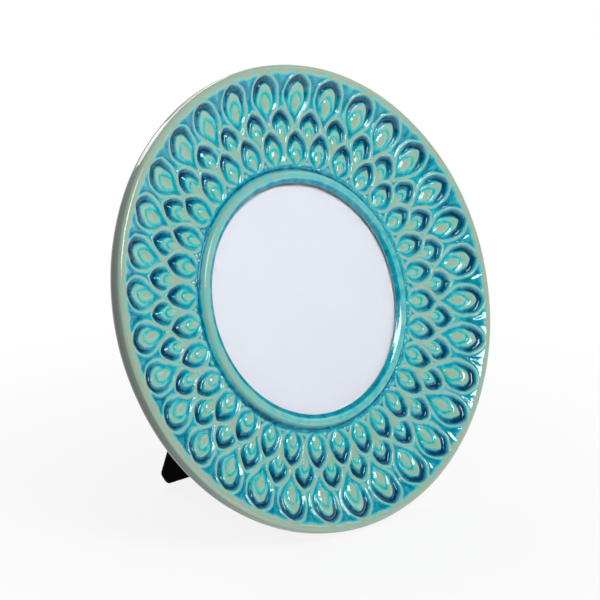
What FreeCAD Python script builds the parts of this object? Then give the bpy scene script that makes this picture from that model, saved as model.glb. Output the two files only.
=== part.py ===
import FreeCAD, Part
import math
import os
import Sketcher

# Round photo frame: a glazed ceramic ring over a glazed round opening, with a
# velvet back and an easel leg, modelled standing as it is used.
# The floor is z = 0, the front looks along -Y and up, and the origin lies on
# the floor under the middle of the whole frame.

Vector = FreeCAD.Vector
Constraint = Sketcher.Constraint
START, END, CENTRE = 1, 2, 3
ORIGIN_LINE_X, ORIGIN_LINE_Y = -1, -2

# Driving sizes, in millimetres and degrees.
SIZES = {
    # Ceramic ring: depths are measured back from the plane of the rim.
    "disc_radius": 101.6,
    "disc_thickness": 10.5,
    "front_edge_round": 1.8,
    "back_edge_round": 6.0,
    "rim_width": 3.0,
    "shoulder_width": 12.6,
    "shoulder_drop": 4.9,
    "field_drop": 6.6,
    "opening_radius": 50.3,
    "lip_depth": 7.1,
    "lip_slope_width": 2.3,
    "lip_slope_drop": 1.4,
    "bead_crest_width": 2.4,
    "bead_side_width": 0.8,
    "bead_depth": 5.0,
    "bead_round": 1.0,
    "groove_floor_width": 0.8,
    "groove_side_width": 0.9,
    "groove_depth": 7.5,
    "rebate_width": 3.4,
    # Carved petals, three rows of them round the ring.
    "petal_count": 32,
    "petal_start_angle": 1.4,
    "petal_depth": 0.8,
    "relief_sink": 0.5,
    # Glass, picture and packing.
    "insert_gap": 0.4,
    "stack_gap": 0.05,
    "glass_thickness": 2.0,
    "photo_thickness": 0.3,
    "spacer_thickness": 0.9,
    # Back board and its velvet.
    "backing_overlap": 3.0,
    "board_thickness": 2.6,
    "cloth_thickness": 0.5,
    "cloth_gap": 0.3,
    # Ring that is glued behind the ceramic and holds the back.
    "ring_width": 17.0,
    "ring_edge_round": 0.6,
    # Turn buttons with their screws and washers.
    "button_count": 4,
    "button_start_angle": 45.0,
    "button_overlap": 5.5,
    "button_half_width": 4.5,
    "button_thickness": 1.0,
    "button_edge_round": 0.3,
    "washer_radius": 3.6,
    "washer_thickness": 0.4,
    "screw_radius": 1.3,
    "screw_head_radius": 2.8,
    "screw_head_height": 1.4,
    "screw_point_length": 1.0,
    "screw_cross_span": 2.8,
    "screw_cross_width": 0.7,
    "screw_cross_depth": 0.8,
    "pilot_undersize": 0.05,
    "running_gap": 0.05,
    # Stance.
    "lean_angle": 21.05,
    "open_angle": 36.7,
    # Hinge of the leg.
    "hinge_width": 34.0,
    "knuckle_width": 12.0,
    "knuckle_gap": 0.2,
    "barrel_radius": 1.9,
    "pin_radius": 1.0,
    "pin_overhang": 0.6,
    "leaf_thickness": 0.8,
    "leaf_length": 13.0,
    "leaf_gap": 0.3,
    "rivet_spacing": 20.0,
    "rivet_set_back": 8.0,
    "rivet_radius": 1.2,
    "rivet_head_radius": 2.4,
    "rivet_head_height": 0.9,
    "rivet_tail_radius": 2.0,
    "rivet_tail_height": 0.6,
    # Leg: a board in a velvet cover.
    "leg_board_thickness": 2.6,
    "leg_cloth_thickness": 0.4,
    "closed_gap": 1.6,
    "leg_top_gap": 0.5,
    "leg_top_half_width": 21.7,
    "leg_knee_half_width": 36.7,
    "leg_foot_half_width": 33.0,
    "leg_knee_rise": 5.4,
    "leg_top_round": 3.0,
    "leg_knee_round": 2.5,
    "leg_foot_round": 1.5,
    # Stay ribbon and the staples that hold its ends.
    "ribbon_width": 10.0,
    "ribbon_thickness": 0.4,
    "ribbon_tab": 6.0,
    "ribbon_board_reach": 66.0,
    "ribbon_leg_reach": 80.0,
    "staple_wire": 0.5,
    "staple_side_gap": 0.4,
    "staple_depth": 1.6,
    # How far a cutting outline runs past what it trims.
    "overrun": 5.0,
}

# Each row of petals, in shares of the field's width: where the round end and
# the point lie and how wide the end is, for the hollow and the leaf in it.
PETAL_ROW_SHARES = (
    {"turn": 0.0, "hollow": (0.810, 0.462, 0.160), "leaf": (0.796, 0.560, 0.097)},
    {"turn": 0.5, "hollow": (0.472, 0.202, 0.107), "leaf": (0.440, 0.238, 0.051)},
    {"turn": 0.0, "hollow": (0.246, 0.017, 0.114), "leaf": (0.216, 0.046, 0.054)},
)
# How much of the ring's thickness a button's screw bites into.
SCREW_BITE_SHARE = 0.85
# How far up the back its hinge sits, as a share of the glass's radius.
HINGE_RISE_SHARE = 0.7

doc = FreeCAD.newDocument("RoundPhotoFrame")


class Size:
    """A number together with the formula that keeps it true in the document."""

    def __init__(self, number, formula):
        self.number = number
        self.formula = formula

    def __add__(self, other):
        return Size(self.number + other.number, f"({self.formula} + {other.formula})")

    def __sub__(self, other):
        return Size(self.number - other.number, f"({self.formula} - {other.formula})")

    def __neg__(self):
        return Size(-self.number, f"(-{self.formula})")

    def __mul__(self, other):
        factor = scale_value(other)
        return Size(self.number * factor.number, f"({self.formula} * {factor.formula})")

    def __truediv__(self, other):
        divisor = scale_value(other)
        return Size(self.number / divisor.number, f"({self.formula} / {divisor.formula})")


def scale_value(value):
    """A plain factor as a size, so that it can stand in a formula."""
    return value if isinstance(value, Size) else Size(value, repr(value))


def sine(angle):
    return Size(math.sin(math.radians(angle.number)), f"sin({angle.formula})")


def cosine(angle):
    return Size(math.cos(math.radians(angle.number)), f"cos({angle.formula})")


def tangent(angle):
    return Size(math.tan(math.radians(angle.number)), f"tan({angle.formula})")


ZERO = Size(0.0, "0")
RIGHT_ANGLE = Size(90.0, "90")

size_sheet = doc.addObject("Spreadsheet::Sheet", "Sizes")
layout_sheet = doc.addObject("Spreadsheet::Sheet", "Layout")


def fill_size_sheet():
    """One row for each driving size: its name, and its number under that alias."""
    for row, (name, number) in enumerate(SIZES.items(), start=1):
        size_sheet.set(f"A{row}", name)
        size_sheet.set(f"B{row}", str(number))
        size_sheet.setAlias(f"B{row}", name)


def driving(name):
    return Size(SIZES[name], f"Sizes.{name}")


layout_names = []


def layout(name, size):
    """Keeps a derived size as a formula cell of its own and returns it."""
    layout_names.append(name)
    row = len(layout_names)
    layout_sheet.set(f"A{row}", name)
    layout_sheet.set(f"B{row}", f"={size.formula}")
    layout_sheet.setAlias(f"B{row}", name)
    return Size(size.number, f"Layout.{name}")


fill_size_sheet()

# Radii of the ceramic ring, from the opening outwards.
opening_radius = driving("opening_radius")
bead_inner_radius = layout("bead_inner_radius", opening_radius + driving("lip_slope_width"))
bead_outer_radius = layout("bead_outer_radius", bead_inner_radius + driving("bead_crest_width"))
bead_foot_radius = layout("bead_foot_radius", bead_outer_radius + driving("bead_side_width"))
groove_radius = layout("groove_radius", bead_foot_radius + driving("groove_floor_width"))
field_inner_radius = layout("field_inner_radius", groove_radius + driving("groove_side_width"))
disc_radius = driving("disc_radius")
field_outer_radius = layout("field_outer_radius", disc_radius - driving("rim_width"))
field_width = layout("field_width", field_outer_radius - field_inner_radius)
shoulder_radius = layout("shoulder_radius", field_outer_radius - driving("shoulder_width"))
recess_radius = layout("recess_radius", opening_radius + driving("rebate_width"))
insert_radius = layout("insert_radius", recess_radius - driving("insert_gap"))

# Depths behind the plane of the rim, from the lip to the face of the back.
disc_thickness = driving("disc_thickness")
lip_depth = driving("lip_depth")
stack_gap = driving("stack_gap")
glass_back = layout("glass_back", lip_depth + stack_gap + driving("glass_thickness"))
photo_back = layout("photo_back", glass_back + stack_gap + driving("photo_thickness"))
spacer_back = layout("spacer_back", photo_back + stack_gap + driving("spacer_thickness"))
board_front = layout("board_front", spacer_back + stack_gap)
board_back = layout("board_back", board_front + driving("board_thickness"))
back_face = layout("back_face", board_back + driving("cloth_thickness"))
ring_thickness = layout("ring_thickness", back_face - disc_thickness)

# Radii of the back and of the ring round it.
backing_radius = layout("backing_radius", recess_radius + driving("backing_overlap"))
board_radius = layout("board_radius", backing_radius - driving("cloth_thickness"))
ring_inner_radius = layout("ring_inner_radius", backing_radius + driving("cloth_gap"))
ring_outer_radius = layout("ring_outer_radius", ring_inner_radius + driving("ring_width"))
button_radius = layout("button_radius", (ring_inner_radius + ring_outer_radius) / 2)

# Leg and hinge, across the leg: positive towards the back board.
leg_thickness = layout(
    "leg_thickness",
    driving("leg_board_thickness") + driving("leg_cloth_thickness") * 2,
)
axis_standoff = layout(
    "axis_standoff",
    driving("closed_gap") + leg_thickness + driving("leaf_thickness") - driving("barrel_radius"),
)
axis_depth = layout("axis_depth", back_face + axis_standoff)
leg_inner_face = layout("leg_inner_face", axis_standoff - driving("closed_gap"))
leg_outer_face = layout("leg_outer_face", leg_inner_face - leg_thickness)

# Stance: the back edge of the ring and the foot of the leg touch the floor.
lean_angle = driving("lean_angle")
open_angle = driving("open_angle")
leg_tilt = layout("leg_tilt", open_angle - lean_angle)
hinge_rise = layout("hinge_rise", insert_radius * HINGE_RISE_SHARE)
back_edge_round = driving("back_edge_round")
front_edge_round = driving("front_edge_round")
disc_height = layout(
    "disc_height",
    (disc_radius - back_edge_round) * cosine(lean_angle)
    + (disc_thickness - back_edge_round) * sine(lean_angle)
    + back_edge_round,
)
axis_height = layout(
    "axis_height",
    disc_height + hinge_rise * cosine(lean_angle) - axis_depth * sine(lean_angle),
)
axis_behind = layout(
    "axis_behind",
    hinge_rise * sine(lean_angle) + axis_depth * cosine(lean_angle),
)
front_reach = layout(
    "front_reach",
    (disc_radius - front_edge_round) * sine(lean_angle)
    - front_edge_round * cosine(lean_angle)
    + front_edge_round,
)
foot_reach = layout(
    "foot_reach",
    axis_behind + axis_height * tangent(leg_tilt) - leg_outer_face / cosine(leg_tilt),
)
disc_y = layout("disc_y", (front_reach - foot_reach) / 2)
axis_y = layout("axis_y", disc_y + axis_behind)

doc.recompute()


# Placements

def shift(x, y, z):
    """The text of a move, for a placement formula."""
    return f"placement(vector({x.formula}; {y.formula}; {z.formula}); rotation(vector(0; 0; 1); 0))"


def turn(angle):
    """The text of a turn about the local vertical, for a placement formula."""
    return f"placement(vector(0; 0; 0); rotation(vector(0; 0; 1); {angle.formula}))"


def stance(y, height, angle):
    """The text of a placement over the floor, turned about the X axis."""
    return f"placement(vector(0; {y.formula}; {height.formula}); rotation(vector(1; 0; 0); {angle.formula}))"


# On the ring, local X is to the right, Y up the ring and Z out of its front.
RING = stance(disc_y, disc_height, RIGHT_ANGLE - lean_angle)
# The back hinge has the ring's directions, with its origin on the axis.
HINGE = RING + " * " + shift(ZERO, hinge_rise, -axis_depth)
# On the leg, local Y is up the leg and Z towards the back board.
LEG = stance(axis_y, axis_height, RIGHT_ANGLE + leg_tilt)


def place(made, formula):
    made.setExpression("Placement", formula)


# Bodies, sketches and features

def new_body(name, formula):
    body = doc.addObject("PartDesign::Body", name)
    body.Label = name
    place(body, formula)
    return body


def origin_feature(body, role):
    return next(item for item in body.Origin.OriginFeatures if item.Role == role)


def new_sketch(body, plane, right=ZERO, lift=ZERO, spin=ZERO):
    """A sketch on an origin plane, moved right and lifted off it, then spun."""
    sketch = body.newObject("Sketcher::SketchObject", f"{body.Name}_sketch")
    sketch.AttachmentSupport = [(origin_feature(body, plane), "")]
    sketch.MapMode = "FlatFace"
    sketch.setExpression(".AttachmentOffset.Base.x", right.formula)
    sketch.setExpression(".AttachmentOffset.Base.z", lift.formula)
    sketch.setExpression(".AttachmentOffset.Rotation.Angle", spin.formula)
    return sketch


def bind(sketch, kind, size, *geometry):
    index = sketch.addConstraint(Constraint(kind, *geometry, size.number))
    sketch.setExpression(f"Constraints[{index}]", size.formula)


def fix_point(sketch, geometry, point, x, y):
    """Holds a point of the sketch at x and y."""
    if x is ZERO:
        sketch.addConstraint(Constraint("PointOnObject", geometry, point, ORIGIN_LINE_Y))
    else:
        bind(sketch, "DistanceX", x, geometry, point)
    if y is ZERO:
        sketch.addConstraint(Constraint("PointOnObject", geometry, point, ORIGIN_LINE_X))
    else:
        bind(sketch, "DistanceY", y, geometry, point)


def dome_arc(top, edge):
    """The arc from a point on the vertical axis out and up to edge."""
    rise = edge.y - top.y
    radius = (edge.x ** 2 + rise ** 2) / (2 * rise)
    centre = Vector(0, top.y + radius, 0)
    sweep = math.atan2(edge.x, radius - rise)
    circle = Part.Circle(centre, Vector(0, 0, 1), radius)
    return Part.ArcOfCircle(circle, -math.pi / 2, sweep - math.pi / 2)


def draw_outline(sketch, corners, domed=False):
    """A closed outline through the corners; if domed, its first run is an arc."""
    count = len(corners)
    points = [Vector(x.number, y.number, 0) for x, y in corners]
    first = sketch.GeometryCount
    for index in range(count):
        start, end = points[index], points[(index + 1) % count]
        run = dome_arc(start, end) if domed and index == 0 else Part.LineSegment(start, end)
        sketch.addGeometry(run, False)
    for index, (x, y) in enumerate(corners):
        following = first + (index + 1) % count
        sketch.addConstraint(Constraint("Coincident", first + index, END, following, START))
        fix_point(sketch, first + index, START, x, y)
    if domed:
        sketch.addConstraint(Constraint("PointOnObject", first, CENTRE, ORIGIN_LINE_Y))


def draw_circle(sketch, radius, x=ZERO, y=ZERO):
    centre = Vector(x.number, y.number, 0)
    index = sketch.addGeometry(Part.Circle(centre, Vector(0, 0, 1), radius.number), False)
    bind(sketch, "Radius", radius, index)
    fix_point(sketch, index, CENTRE, x, y)


def draw_petal(sketch, centre, tip, radius):
    """A round end about centre on the X axis, drawn in to a point at tip."""
    cx, tx, r = centre.number, tip.number, radius.number
    side = math.acos(r / (cx - tx))
    touch_x, touch_y = cx - r * math.cos(side), r * math.sin(side)
    circle = Part.Circle(Vector(cx, 0, 0), Vector(0, 0, 1), r)
    point = Vector(tx, 0, 0)
    arc = sketch.addGeometry(Part.ArcOfCircle(circle, side - math.pi, math.pi - side), False)
    left = sketch.addGeometry(Part.LineSegment(Vector(touch_x, touch_y, 0), point), False)
    right = sketch.addGeometry(Part.LineSegment(point, Vector(touch_x, -touch_y, 0)), False)
    sketch.addConstraint(Constraint("Coincident", left, END, right, START))
    sketch.addConstraint(Constraint("Tangent", arc, END, left, START))
    sketch.addConstraint(Constraint("Tangent", right, END, arc, START))
    fix_point(sketch, arc, CENTRE, centre, ZERO)
    fix_point(sketch, left, END, tip, ZERO)
    bind(sketch, "Radius", radius, arc)


def draw_button(sketch, reach, radius):
    """Equal round ends about the origin and about -reach on the X axis."""
    far, r = -reach.number, radius.number
    up = Vector(0, 0, 1)
    near_circle = Part.Circle(Vector(0, 0, 0), up, r)
    far_circle = Part.Circle(Vector(far, 0, 0), up, r)
    near_end = sketch.addGeometry(Part.ArcOfCircle(near_circle, -math.pi / 2, math.pi / 2), False)
    far_end = sketch.addGeometry(Part.ArcOfCircle(far_circle, math.pi / 2, 3 * math.pi / 2), False)
    top = sketch.addGeometry(Part.LineSegment(Vector(0, r, 0), Vector(far, r, 0)), False)
    bottom = sketch.addGeometry(Part.LineSegment(Vector(far, -r, 0), Vector(0, -r, 0)), False)
    sketch.addConstraint(Constraint("Tangent", near_end, END, top, START))
    sketch.addConstraint(Constraint("Tangent", top, END, far_end, START))
    sketch.addConstraint(Constraint("Tangent", far_end, END, bottom, START))
    sketch.addConstraint(Constraint("Tangent", bottom, END, near_end, START))
    sketch.addConstraint(Constraint("Equal", near_end, far_end))
    fix_point(sketch, near_end, CENTRE, ZERO, ZERO)
    fix_point(sketch, far_end, CENTRE, -reach, ZERO)
    bind(sketch, "Radius", radius, near_end)


def add_pad(body, sketch, length, both_ways=False):
    pad = body.newObject("PartDesign::Pad", f"{body.Name}_pad")
    pad.Profile = sketch
    pad.SideType = "Symmetric" if both_ways else "One side"
    pad.setExpression("Length", length.formula)
    sketch.Visibility = False
    doc.recompute()
    return pad


def add_revolution(body, sketch):
    revolution = body.newObject("PartDesign::Revolution", f"{body.Name}_revolution")
    revolution.Profile = sketch
    revolution.ReferenceAxis = (sketch, ["V_Axis"])
    revolution.Angle = 360
    doc.recompute()
    return revolution


def check_cut(body, before):
    """Stops if the last feature took nothing off the body."""
    doc.recompute()
    if not body.Tip.Shape.Volume < before:
        raise RuntimeError(f"{body.Label}: {body.Tip.Name} cuts nothing")


def add_pocket(body, sketch, length=None, forward=False):
    """Cuts the outline right through, or by a length towards local front or back."""
    before = body.Tip.Shape.Volume
    pocket = body.newObject("PartDesign::Pocket", f"{body.Name}_pocket")
    pocket.Profile = sketch
    if length is None:
        pocket.Type = "ThroughAll"
        pocket.SideType = "Symmetric"
    else:
        pocket.SideType = "One side"
        pocket.Reversed = forward
        pocket.setExpression("Length", length.formula)
    check_cut(body, before)
    return pocket


def add_polar(body, features, count):
    pattern = body.newObject("PartDesign::PolarPattern", f"{body.Name}_pattern")
    pattern.Originals = features
    pattern.Axis = (origin_feature(body, "Z_Axis"), [""])
    pattern.Angle = 360
    pattern.setExpression("Occurrences", count.formula)
    body.Tip = pattern
    doc.recompute()
    return pattern


def add_mirror(body, features, plane):
    mirror = body.newObject("PartDesign::Mirrored", f"{body.Name}_mirror")
    mirror.Originals = features
    mirror.MirrorPlane = (origin_feature(body, plane), [""])
    body.Tip = mirror
    doc.recompute()
    return mirror


def add_fillet(body, radius, wanted):
    """Rounds the edges of the body's last feature that wanted accepts."""
    base = body.Tip
    edges = [f"Edge{n}" for n, edge in enumerate(base.Shape.Edges, start=1) if wanted(edge)]
    if not edges:
        raise RuntimeError(f"{body.Label}: no edge to round")
    fillet = body.newObject("PartDesign::Fillet", f"{body.Name}_fillet")
    fillet.Base = (base, edges)
    fillet.setExpression("Radius", radius.formula)
    doc.recompute()
    return fillet


CLOSE = 1e-4


def ring_edge(radius, height):
    """Accepts the full circle of this radius at this local height."""
    def wanted(edge):
        if edge.Curve.TypeId != "Part::GeomCircle":
            return False
        same_radius = abs(edge.Curve.Radius - radius.number) < CLOSE
        return same_radius and abs(edge.Curve.Center.z - height.number) < CLOSE
    return wanted


def flat_edge(height):
    """Accepts the edges that lie flat at this local height."""
    def wanted(edge):
        box = edge.BoundBox
        return abs(box.ZMin - height.number) < CLOSE and abs(box.ZMax - height.number) < CLOSE
    return wanted


def corner_edge(x, y, reach):
    """Accepts the edges through the thickness near x and y, on both sides."""
    def wanted(edge):
        middle = edge.CenterOfMass
        across = edge.BoundBox.ZLength > edge.BoundBox.XLength + edge.BoundBox.YLength
        away = math.hypot(abs(middle.x) - x.number, middle.y - y.number)
        return across and away < reach.number
    return wanted


# Ceramic ring

def field_radius(share):
    return field_inner_radius + field_width * share


def petal_outline(sketch, shares):
    centre_share, tip_share, width_share = shares
    draw_petal(sketch, field_radius(centre_share), field_radius(tip_share), field_width * width_share)


def carve_petals(body, row):
    """One row of hollows, each with its raised leaf left standing."""
    step = Size(360.0, "360") / driving("petal_count")
    spin = RIGHT_ANGLE - driving("petal_start_angle") - step * row["turn"]
    sketch = new_sketch(body, "XY_Plane", spin=spin)
    petal_outline(sketch, row["hollow"])
    petal_outline(sketch, row["leaf"])
    hollow = add_pocket(body, sketch)
    before = body.Tip.Shape.Volume
    add_polar(body, [hollow], driving("petal_count"))
    check_cut(body, before)


def make_ceramic_blank():
    """The ring with its dished field lowered to the floors of the hollows."""
    body = new_body("ceramic_blank", RING)
    slope_end = driving("bead_depth") + driving("lip_slope_drop")
    petal_depth = driving("petal_depth")
    sketch = new_sketch(body, "XZ_Plane")
    draw_outline(sketch, [
        (disc_radius, -disc_thickness),
        (disc_radius, ZERO),
        (field_outer_radius, ZERO),
        (field_outer_radius, -petal_depth),
        (shoulder_radius, -(driving("shoulder_drop") + petal_depth)),
        (field_inner_radius, -(driving("field_drop") + petal_depth)),
        (groove_radius, -driving("groove_depth")),
        (bead_foot_radius, -driving("groove_depth")),
        (bead_outer_radius, -driving("bead_depth")),
        (bead_inner_radius, -driving("bead_depth")),
        (opening_radius, -slope_end),
        (opening_radius, -lip_depth),
        (recess_radius, -lip_depth),
        (recess_radius, -disc_thickness),
    ])
    add_revolution(body, sketch)
    add_fillet(body, front_edge_round, ring_edge(disc_radius, ZERO))
    add_fillet(body, back_edge_round, ring_edge(disc_radius, -disc_thickness))
    add_fillet(body, driving("bead_round"), ring_edge(bead_outer_radius, -driving("bead_depth")))
    add_fillet(body, driving("bead_round"), ring_edge(bead_inner_radius, -driving("bead_depth")))
    add_fillet(body, driving("bead_round"), ring_edge(opening_radius, -slope_end))
    return body


def make_petal_relief():
    """The raised lattice and leaves, sunk a little way into the blank."""
    body = new_body("petal_relief", RING)
    sink = driving("relief_sink")
    under = driving("petal_depth") + sink
    sketch = new_sketch(body, "XZ_Plane")
    draw_outline(sketch, [
        (field_outer_radius, ZERO),
        (shoulder_radius, -driving("shoulder_drop")),
        (field_inner_radius, -driving("field_drop")),
        (field_inner_radius, -(driving("field_drop") + under)),
        (shoulder_radius, -(driving("shoulder_drop") + under)),
        (field_outer_radius + sink, -under),
        (field_outer_radius + sink, -sink),
    ])
    add_revolution(body, sketch)
    for row in PETAL_ROW_SHARES:
        carve_petals(body, row)
    return body


def make_ceramic_frame():
    """The blank and its relief in one piece of ceramic."""
    blank = make_ceramic_blank()
    relief = make_petal_relief()
    ring = doc.addObject("Part::Fuse", "ceramic_frame")
    ring.Label = "ceramic_frame"
    ring.Base = blank
    ring.Tool = relief
    return ring


# Glass, picture and packing

def make_insert(name, back, thickness):
    """A round sheet with its back face at a depth behind the rim."""
    disc = doc.addObject("Part::Cylinder", name)
    disc.Label = name
    disc.setExpression("Radius", insert_radius.formula)
    disc.setExpression("Height", thickness.formula)
    place(disc, RING + " * " + shift(ZERO, ZERO, -back))
    return disc


# Back board, its velvet and the ring round it

rivet_rise = hinge_rise + driving("rivet_set_back")
rivet_x = driving("rivet_spacing") / 2
rivet_hole_radius = driving("rivet_radius") + driving("running_gap")


def pierce_for_rivets(body, y, radius, lift=ZERO, length=None):
    """A pair of round holes, through or to a depth, for the two rivets."""
    sketch = new_sketch(body, "XY_Plane", lift=lift)
    draw_circle(sketch, radius, -rivet_x, y)
    draw_circle(sketch, radius, rivet_x, y)
    add_pocket(body, sketch, length)


def make_backing_board():
    body = new_body("backing_board", RING)
    sketch = new_sketch(body, "XY_Plane", lift=-board_back)
    draw_circle(sketch, board_radius)
    add_pad(body, sketch, driving("board_thickness"))
    pierce_for_rivets(body, rivet_rise, rivet_hole_radius)
    seat_radius = driving("rivet_tail_radius") + driving("running_gap")
    seat_depth = driving("rivet_tail_height") + driving("running_gap")
    pierce_for_rivets(body, rivet_rise, seat_radius, -board_front, seat_depth)
    return body


def make_backing_cloth():
    """Velvet over the outer face of the board and round its edge."""
    body = new_body("backing_cloth", RING)
    sketch = new_sketch(body, "XZ_Plane")
    draw_outline(sketch, [
        (ZERO, -back_face),
        (backing_radius, -back_face),
        (backing_radius, -board_front),
        (board_radius, -board_front),
        (board_radius, -board_back),
        (ZERO, -board_back),
    ])
    add_revolution(body, sketch)
    pierce_for_rivets(body, rivet_rise, rivet_hole_radius)
    return body


def make_mount_ring():
    """Fibreboard ring behind the ceramic, drilled for the button screws."""
    body = new_body("mount_ring", RING + " * " + turn(driving("button_start_angle")))
    sketch = new_sketch(body, "XY_Plane", lift=-back_face)
    draw_circle(sketch, ring_outer_radius)
    draw_circle(sketch, ring_inner_radius)
    add_pad(body, sketch, ring_thickness)
    add_fillet(body, driving("ring_edge_round"), ring_edge(ring_outer_radius, -back_face))
    holes = new_sketch(body, "XY_Plane", lift=-back_face)
    draw_circle(holes, driving("screw_radius") - driving("pilot_undersize"), button_radius)
    bite = ring_thickness * SCREW_BITE_SHARE
    pilot = add_pocket(body, holes, bite, forward=True)
    add_polar(body, [pilot], driving("button_count"))
    return body


# Turn buttons

washer_back = layout("washer_back", back_face + driving("washer_thickness"))
button_back = layout("button_back", washer_back + driving("button_thickness"))
screw_head_base = layout("screw_head_base", button_back + driving("running_gap"))


def make_turn_button(name, index):
    """A stamped plate that turns on its screw and reaches over the back."""
    step = Size(360.0, "360") / driving("button_count")
    angle = driving("button_start_angle") + step * index
    spot = RING + " * " + turn(angle) + " * " + shift(button_radius, ZERO, -button_back)
    body = new_body(name, spot)
    half_width = driving("button_half_width")
    reach = button_radius - ring_inner_radius + driving("button_overlap") - half_width
    sketch = new_sketch(body, "XY_Plane")
    draw_button(sketch, reach, half_width)
    draw_circle(sketch, driving("screw_radius") + driving("running_gap"))
    add_pad(body, sketch, driving("button_thickness"))
    add_fillet(body, driving("button_edge_round"), flat_edge(ZERO))
    return body


def make_button_washers():
    body = new_body("button_washers", RING + " * " + turn(driving("button_start_angle")))
    sketch = new_sketch(body, "XY_Plane", lift=-washer_back)
    draw_circle(sketch, driving("washer_radius"), button_radius)
    draw_circle(sketch, driving("screw_radius") + driving("running_gap"), button_radius)
    pad = add_pad(body, sketch, driving("washer_thickness"))
    add_polar(body, [pad], driving("button_count"))
    return body


def draw_cross(sketch, span, width):
    """The outline of a cross recess about the origin."""
    far, near = span / 2, width / 2
    draw_outline(sketch, [
        (far, -near), (far, near), (near, near), (near, far),
        (-near, far), (-near, near), (-far, near), (-far, -near),
        (-near, -near), (-near, -far), (near, -far), (near, -near),
    ])


def make_button_screws():
    body = new_body("button_screws", RING + " * " + turn(driving("button_start_angle")))
    head_top = screw_head_base + driving("screw_head_height")
    tip = back_face - ring_thickness * SCREW_BITE_SHARE
    sketch = new_sketch(body, "XZ_Plane", right=button_radius)
    draw_outline(sketch, [
        (ZERO, -head_top),
        (driving("screw_head_radius"), -screw_head_base),
        (driving("screw_radius"), -screw_head_base),
        (driving("screw_radius"), -(tip + driving("screw_point_length"))),
        (ZERO, -tip),
    ], domed=True)
    shank = add_revolution(body, sketch)
    recess = new_sketch(body, "XY_Plane", right=button_radius, lift=-head_top)
    draw_cross(recess, driving("screw_cross_span"), driving("screw_cross_width"))
    cross = add_pocket(body, recess, driving("screw_cross_depth"), forward=True)
    add_polar(body, [shank, cross], driving("button_count"))
    return body


# Hinge

middle_notch = driving("knuckle_width") + driving("knuckle_gap") * 2
barrel_radius = driving("barrel_radius")
leaf_thickness = driving("leaf_thickness")
leaf_length = driving("leaf_length")
pin_hole_radius = driving("pin_radius") + driving("running_gap")
knuckle_clear = barrel_radius + driving("leaf_gap")


def add_barrel(body, width):
    sketch = new_sketch(body, "YZ_Plane")
    draw_circle(sketch, barrel_radius)
    add_pad(body, sketch, width, both_ways=True)


def bore_barrel(body):
    sketch = new_sketch(body, "YZ_Plane")
    draw_circle(sketch, pin_hole_radius)
    add_pocket(body, sketch)


def make_board_leaf():
    """Leaf riveted to the back, with the two outer knuckles."""
    body = new_body("board_leaf", HINGE)
    add_barrel(body, driving("hinge_width"))
    wall = barrel_radius - leaf_thickness
    plate = new_sketch(body, "YZ_Plane")
    draw_outline(plate, [
        (wall, ZERO),
        (barrel_radius, ZERO),
        (barrel_radius, axis_standoff - leaf_thickness),
        (leaf_length, axis_standoff - leaf_thickness),
        (leaf_length, axis_standoff),
        (wall, axis_standoff),
    ])
    add_pad(body, plate, driving("hinge_width"), both_ways=True)
    notch = new_sketch(body, "XY_Plane", lift=axis_standoff + driving("overrun"))
    low = -(barrel_radius + driving("overrun"))
    draw_outline(notch, [
        (-middle_notch / 2, low),
        (middle_notch / 2, low),
        (middle_notch / 2, knuckle_clear),
        (-middle_notch / 2, knuckle_clear),
    ])
    add_pocket(body, notch)
    bore_barrel(body)
    pierce_for_rivets(body, driving("rivet_set_back"), rivet_hole_radius)
    return body


def make_leg_leaf():
    """Leaf riveted to the outside of the leg, with the middle knuckle."""
    body = new_body("leg_leaf", LEG)
    add_barrel(body, driving("knuckle_width"))
    tongue = new_sketch(body, "YZ_Plane")
    draw_outline(tongue, [
        (ZERO, -barrel_radius),
        (ZERO, leaf_thickness - barrel_radius),
        (-leaf_length, leaf_thickness - barrel_radius),
        (-leaf_length, -barrel_radius),
    ])
    add_pad(body, tongue, driving("knuckle_width"), both_ways=True)
    plate = new_sketch(body, "YZ_Plane")
    draw_outline(plate, [
        (-knuckle_clear, -barrel_radius),
        (-knuckle_clear, leaf_thickness - barrel_radius),
        (-leaf_length, leaf_thickness - barrel_radius),
        (-leaf_length, -barrel_radius),
    ])
    add_pad(body, plate, driving("hinge_width"), both_ways=True)
    bore_barrel(body)
    pierce_for_rivets(body, -driving("rivet_set_back"), rivet_hole_radius)
    return body


def make_hinge_pin():
    body = new_body("hinge_pin", HINGE)
    sketch = new_sketch(body, "YZ_Plane")
    draw_circle(sketch, driving("pin_radius"))
    add_pad(body, sketch, driving("hinge_width") + driving("pin_overhang") * 2, both_ways=True)
    return body


def make_rivets(name, formula, head_base, tail_base):
    """Two domed rivets; their heads point away from the front."""
    body = new_body(name, formula)
    sketch = new_sketch(body, "XZ_Plane", right=rivet_x)
    tail_end = tail_base + driving("rivet_tail_height")
    draw_outline(sketch, [
        (ZERO, head_base - driving("rivet_head_height")),
        (driving("rivet_head_radius"), head_base),
        (driving("rivet_radius"), head_base),
        (driving("rivet_radius"), tail_base),
        (driving("rivet_tail_radius"), tail_base),
        (driving("rivet_tail_radius"), tail_end),
        (ZERO, tail_end),
    ], domed=True)
    rivet = add_revolution(body, sketch)
    add_mirror(body, [rivet], "YZ_Plane")
    return body


# Leg

axis_to_floor = layout("axis_to_floor", axis_height / cosine(leg_tilt))
leg_low = layout("leg_low", leg_outer_face * tangent(leg_tilt) - axis_to_floor)
leg_top = layout("leg_top", -(barrel_radius + driving("leg_top_gap")))


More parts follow.
